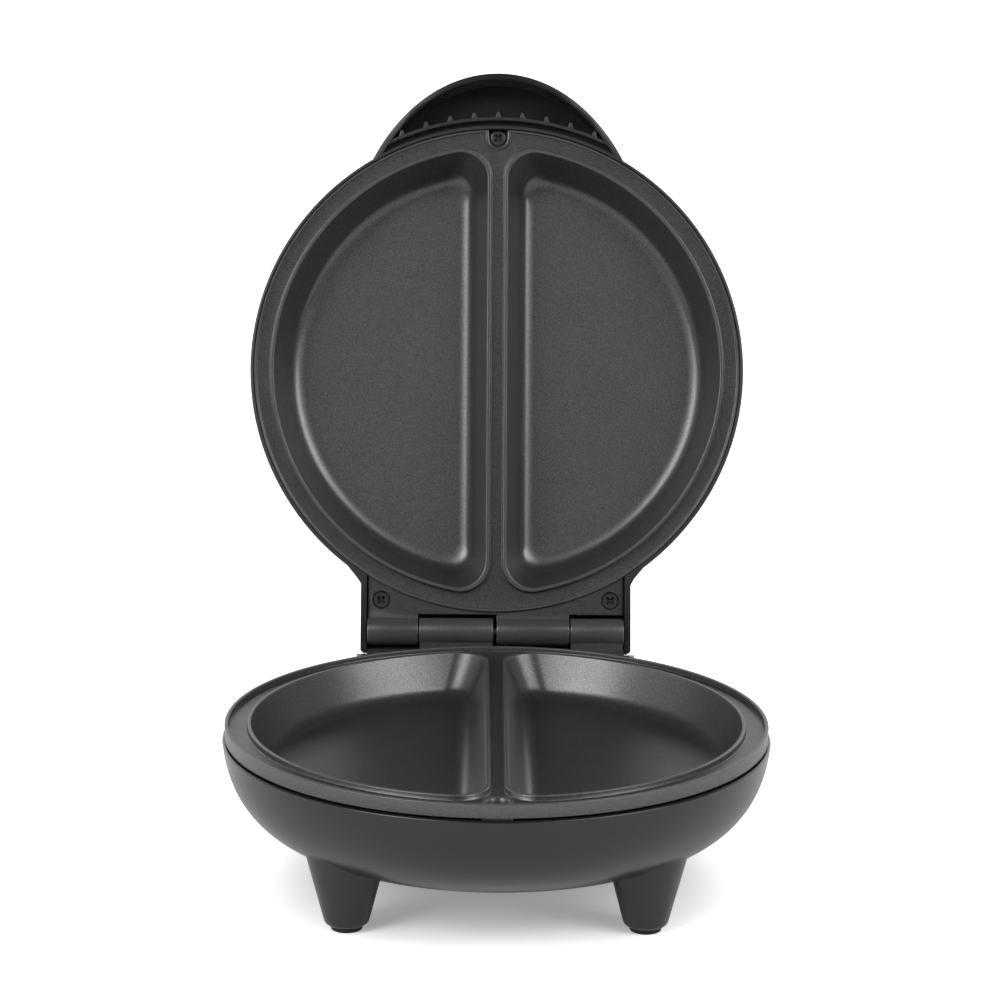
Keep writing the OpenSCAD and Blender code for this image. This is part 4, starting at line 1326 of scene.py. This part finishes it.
@dataclass(frozen=True)
class Fasteners:
    """Screws that show, with a cross recess in each head."""

    head_r: float = 3.4
    pan_r: float = 3.8
    head_h: float = 2.0
    shank_r: float = 1.6
    front_l: float = 10.0
    tab_l: float = 14.0
    recess_d: float = 1.3
    slot_reach: float = 0.62
    slot_half_w: float = 0.2

    def recess(self, top: float) -> list[bpy.types.Object]:
        """Two crossed slots below height top, narrower and shorter at the bottom.

        Args:
            top: Height of the top of the head.

        Returns:
            The two cutters.
        """
        tools = []
        for turn in (45, 135):
            way = np.exp(1j * math.radians(turn)) * self.head_r
            loops = []
            for share, height in ((0.55, top - self.recess_d), (1.0, top + 0.2)):
                wide = 1j * way * self.slot_half_w * share
                long = way * self.slot_reach * (0.6 + 0.4 * share)
                corners = np.array([long + wide, wide - long, -long - wide, long - wide])
                loops.append(level(np.column_stack([corners.real, corners.imag]), height))
            tools.append(loft(loops))
        return tools

    def made(self, head: Sequence[Sequence[float]], length: float, top: float) -> bpy.types.Object:
        """A screw from its head's profile, its shank ending at length below 0, with its recess.

        Args:
            head: Points of the head's profile.
            length: Length of the shank.
            top: Height of the top of the head.

        Returns:
            The new solid.
        """
        end = [[self.shank_r, -length], [0, -length]]
        return combine(turned(np.array([*head, *end]), 64), Cut.REMOVE, self.recess(top))

    def pan(self) -> bpy.types.Object:
        """Round-headed screw, its head's underside at height 0."""
        radius = self.pan_r
        dome = arc((radius - 1.25, self.head_h - 1.2), 1.2, 90, 10, 8)
        edge = [[radius, 0.25], [radius - 0.1, 0.0], [self.shank_r, 0]]
        return self.made([[0, self.head_h], *dome, *edge], self.front_l, self.head_h)

    def flat(self) -> bpy.types.Object:
        """Countersunk screw, its head's top at height 0."""
        edge = [[self.head_r - 0.2, 0], [self.head_r, -0.2], [self.shank_r, -self.head_h]]
        return self.made([[0, 0], *edge], self.tab_l, 0.0)


@dataclass(frozen=True)
class Pads:
    """Rubber pads under the legs."""

    radius: float = 6.2
    height: float = 1.9
    stem_r: float = 2.6
    stem_top: float = 7.0

    def build(self, places: Sequence[tuple[float, float]]) -> bpy.types.Object:
        """All pads as one piece, each with its stem.

        Args:
            places: X and Y of each pad.

        Returns:
            The new solid.
        """
        pad = [(0, 0, 0), (self.radius, 0, 0.6), (self.radius, self.height, 0.3)]
        stem = [(self.stem_r, self.height, 0), (self.stem_r, self.stem_top, 0), (0, self.stem_top, 0)]
        section = rounded(pad + stem, 4)
        rows = Skin().revolve(section, 64).points[0].reshape(len(section), 64, 3)
        skin = Skin()
        for place in places:
            skin.grid(rows + np.array([*place, 0.0]))
        return skin.build("foot_pads")


@dataclass
class Cooker:
    """The whole appliance."""

    base: BaseHousing = field(default_factory=BaseHousing)
    lid: LidHousing = field(default_factory=LidHousing)
    screws: Fasteners = field(default_factory=Fasteners)
    pads: Pads = field(default_factory=Pads)

    def build(self) -> None:
        """Builds and dresses each piece that shows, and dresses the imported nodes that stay."""
        coating, plastic, rubber, steel = (f.material() for f in (COATING, PLASTIC, RUBBER, BLACK_STEEL))
        base, pads = self.base.build(), self.pads.build(self.base.leg_places)
        lower, lid, upper = lower_plate(), self.lid.build(), upper_plate()
        on_table, on_rim, shut = LAYOUT.base_place, LAYOUT.rim_place, LAYOUT.lid_place
        flipped = LAYOUT.facing_down_place
        pieces = (
            (base, "bowl_housing", on_table, Body.BASE, plastic, "housing_plastic", "base_housing"),
            (pads, "rubber_pads", on_table, Body.BASE, rubber, "foot_rubber", "foot_pads"),
            (lower, "lower_casting", on_rim, Body.BASE, coating, "nonstick_casting", "lower_plate"),
            (lid, "dome_housing", shut, Body.LID, plastic, "housing_plastic", "lid_housing"),
            (upper, "upper_casting", flipped, Body.LID, coating, "nonstick_casting", "upper_plate"),
        )
        for piece, name, place, body, material, slot, node in pieces:
            finish_piece(piece, name, place, body, material, slot, [node])
        self.screw_set(steel)
        self.dress_packed(rubber)

    def screw_set(self, steel: bpy.types.Material) -> None:
        """Places the front screws and the screws in the hinge tabs.

        Args:
            steel: Material of the screws.
        """
        notch_floor = -LOWER_PLATE.gutter_d - LOWER_PLATE.notch_d + 0.1
        halves = (("lower", LAYOUT.rim_place, Body.BASE), ("upper", LAYOUT.facing_down_place, Body.LID))
        for half, place, body in halves:
            screw = shifted(self.screws.pan(), (0, LOWER_PLATE.notch_y, notch_floor))
            finish_piece(screw, f"{half}_notch_screw", place, body, steel, "steel", [f"{half}_front_screw"])
            sides = (-HINGE.screw_x, HINGE.screw_x)
            pair, other = (shifted(self.screws.flat(), (x, HINGE.screw_y, -HINGE.tab_d)) for x in sides)
            combine(pair, Cut.ADD, [other])
            finish_piece(pair, f"{half}_tab_screws", place, body, steel, "steel", [f"{half}_hinge_screws"])

    def dress_packed(self, rubber: bpy.types.Material) -> None:
        """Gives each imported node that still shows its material.

        Args:
            rubber: Material of the cord gland.
        """
        both = "lower_{0} upper_{0}"
        clamps, reflectors = both.format("element_clamps"), both.format("reflector")
        dressed = (
            (BRIGHT_STEEL.material(), "hinge_pin thermostat_screws " + both.format("clamp_screws")),
            (rubber, "cord_gland"),
            (ELEMENT.material(), both.format("heating_element")),
            (SHEET.material(), f"{clamps} {reflectors} thermostat_bracket"),
            (PALE_PLASTIC.material(), "terminal_block lamp_holder"),
            (CERAMIC.material(), "thermostat"),
            (SLEEVE.material(), "thermal_fuse"),
            (RED_LENS.material(), "power_lamp_lens"),
            (GREEN_LENS.material(), "ready_lamp_lens"),
        )
        for material, names in dressed:
            for name in names.split():
                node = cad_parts[name]
                node.data.materials.clear()
                node.data.materials.append(material)
                LOG.info("%s: packed node dressed", name)


@dataclass(frozen=True)
class Glow:
    """A soft patch of light in the surroundings.

    azimuth turns from the back over the right to the front, elevation rises from the floor. The patch is
    full within inner degrees of its middle and fades to nothing at outer degrees.
    """

    name: str
    azimuth: float
    elevation: float
    inner: float
    outer: float
    strength: float

    def axis(self) -> tuple[float, float, float]:
        """Direction of the patch's middle."""
        turn, rise = math.radians(self.azimuth), math.radians(self.elevation)
        return (math.sin(turn) * math.cos(rise), math.cos(turn) * math.cos(rise), math.sin(rise))

    def add_to(
        self, tree: bpy.types.NodeTree, way: bpy.types.NodeSocket, total: bpy.types.NodeSocket
    ) -> bpy.types.NodeSocket:
        """Adds the patch's light, smoothed by the angle from its middle, to the total.

        Args:
            tree: Node tree of the surroundings.
            way: Direction looked in.
            total: Light so far.

        Returns:
            The new total.
        """
        close = add(tree, "VectorMath", {"operation": "DOT_PRODUCT", 1: self.axis()}, {0: way})
        fade = {"interpolation_type": "SMOOTHSTEP", "To Max": self.strength}
        fade["From Min"] = math.cos(math.radians(self.outer))
        fade["From Max"] = math.cos(math.radians(self.inner))
        patch = add(tree, "MapRange", fade, {"Value": close.outputs["Value"]})
        return add(tree, "Math", {"operation": "ADD"}, {0: patch, 1: total}).outputs[0]


GLOWS = (
    Glow("back", 0, 10, 30, 60, 0.9),
    Glow("back_left", 315, 12, 16, 36, 0.8),
    Glow("back_right", 45, 12, 16, 36, 0.8),
    Glow("box_left", 229, 30, 10, 19, 7.8),
    Glow("box_right", 120, 30, 10, 19, 6.5),
    Glow("side_left", 266, 24, 10, 22, 0.7),
    Glow("side_right", 94, 24, 10, 22, 0.2),
    Glow("low_left", 270, 5, 12, 24, 0.8),
    Glow("low_right", 90, 3, 10, 20, 0.7),
    Glow("high_left", 214, 42, 6, 14, 4.8),
    Glow("high_right", 143, 42, 6, 14, 5.2),
)
# Light from everywhere; then the floor's own glow near the appliance and far from it, and how much of it
# mirrors see
AMBIENT = 0.025
FLOOR_LIFT = 0.25
FLOOR_FAR = 0.8
GLOSSY_SHARE = 0.15


@dataclass(frozen=True)
class Studio:
    """Pale floor, soft surroundings and the camera of the photograph."""

    camera_at: tuple[float, float, float] = (-8.042, -1178.145, 424.815)
    looks_along: tuple[float, float, float] = (0.007217, 0.975207, -0.221177)
    roll: float = 0.436
    lens: float = 109.97
    sensor: float = 36.0
    clip: tuple[float, float] = (0.05, 50.0)
    floor_half: float = 8.0
    lift_end: float = 0.07
    far_start: float = 0.115

    def camera(self) -> None:
        """Puts the camera where the photograph was taken from."""
        ahead = np.array(self.looks_along)
        ahead /= np.linalg.norm(ahead)
        right = np.cross(ahead, [0.0, 0.0, 1.0])
        right /= np.linalg.norm(right)
        up = np.cross(right, ahead)
        roll = math.radians(self.roll)
        pose = np.eye(4)
        pose[:3, 0] = right * math.cos(roll) + up * math.sin(roll)
        pose[:3, 1] = up * math.cos(roll) - right * math.sin(roll)
        pose[:3, 2] = -ahead
        pose[:3, 3] = LAYOUT.base_place(np.array([self.camera_at]))[0]
        data = bpy.data.cameras.new("camera")
        data.lens = self.lens
        data.sensor_width = self.sensor
        data.clip_start, data.clip_end = self.clip
        camera = bpy.data.objects.new("camera", data)
        camera.matrix_world = Matrix(pose.tolist())
        bpy.context.scene.collection.objects.link(camera)
        bpy.context.scene.camera = camera

    def seen(self, tree: bpy.types.NodeTree) -> tuple[bpy.types.Node, bpy.types.Node]:
        """Adds the nodes that tell what kind of ray looks, and 1 where the camera does, else 0.

        Args:
            tree: Node tree to add them to.

        Returns:
            The node that knows the ray, and the one that gives the 1 or 0.
        """
        path = add(tree, "LightPath")
        rays = {0: path.outputs["Is Camera Ray"], 1: path.outputs["Is Transmission Ray"]}
        return path, add(tree, "Math", {"operation": "MAXIMUM"}, rays)

    def surroundings(self) -> None:
        """White for the camera, and soft patches of light for everything else."""
        world = bpy.data.worlds.new("surroundings")
        bpy.context.scene.world = world
        tree = bare_tree(world)
        seen = self.seen(tree)[1]
        way = add(tree, "TexCoord").outputs["Object"]
        total = add(tree, "Value").outputs[0]
        total.default_value = AMBIENT
        for glow in GLOWS:
            total = glow.add_to(tree, way, total)
        strength = add(tree, "Mix", {"data_type": "FLOAT", 3: 1.0}, {0: seen, 2: total})
        shader = add(tree, "Background", {"Color": (1.0, 1.0, 1.0, 1.0)}, {"Strength": strength})
        add(tree, "OutputWorld", links={"Surface": shader})

    def floor(self) -> None:
        """A wide white floor that keeps the soft shadow; its far parts shine white for the camera."""
        half = self.floor_half
        mesh = bpy.data.meshes.new("floor")
        corners = level(oblong((-half, -half), (half, half)), 0.0)
        mesh.from_pydata(corners.tolist(), [], [(0, 1, 2, 3)])
        piece = bpy.data.objects.new("floor", mesh)
        bpy.context.scene.collection.objects.link(piece)
        made = bpy.data.materials.new("white_paper")
        tree = bare_tree(made)
        path, seen = self.seen(tree)
        place = add(tree, "TexCoord").outputs["Object"]
        middle = LAYOUT.base_place(np.zeros((1, 3)))[0] * (-1, -1, 0)
        point = add(tree, "VectorMath", {"operation": "ADD", 1: middle.tolist()}, {0: place})
        reach = add(tree, "VectorMath", {"operation": "LENGTH"}, {0: point}).outputs["Value"]
        rise = {"interpolation_type": "SMOOTHSTEP", "To Min": FLOOR_LIFT, "To Max": FLOOR_FAR}
        rise["From Min"], rise["From Max"] = self.lift_end, self.far_start
        far = add(tree, "MapRange", rise, {"Value": reach})
        mirrors = {0: path.outputs["Is Glossy Ray"], 2: seen}
        share = add(tree, "Math", {"operation": "MULTIPLY_ADD", 1: GLOSSY_SHARE}, mirrors)
        shown = add(tree, "Math", {"operation": "MULTIPLY"}, {0: share, 1: far})
        paper = add(tree, "BsdfDiffuse", {"Color": linear("#f6f6f6")})
        glow = add(tree, "Emission", links={"Strength": shown})
        both = add(tree, "AddShader", links={0: paper, 1: glow})
        add(tree, "OutputMaterial", links={"Surface": both})
        mesh.materials.append(made)
        piece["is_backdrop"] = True

    def build(self) -> None:
        """Sets up everything round the appliance."""
        bpy.context.scene.view_settings.view_transform = "Standard"
        self.camera()
        self.surroundings()
        self.floor()


def main() -> None:
    """Builds the appliance and its studio."""
    logging.basicConfig(level=logging.INFO, format="%(message)s")
    Cooker().build()
    Studio().build()
    measured = {"cad": CAD_BOX, "visual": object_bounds()}
    boxes = {name: [list(map(float, c)) for c in box] for name, box in measured.items()}


if __name__ == "__main__":
    main()
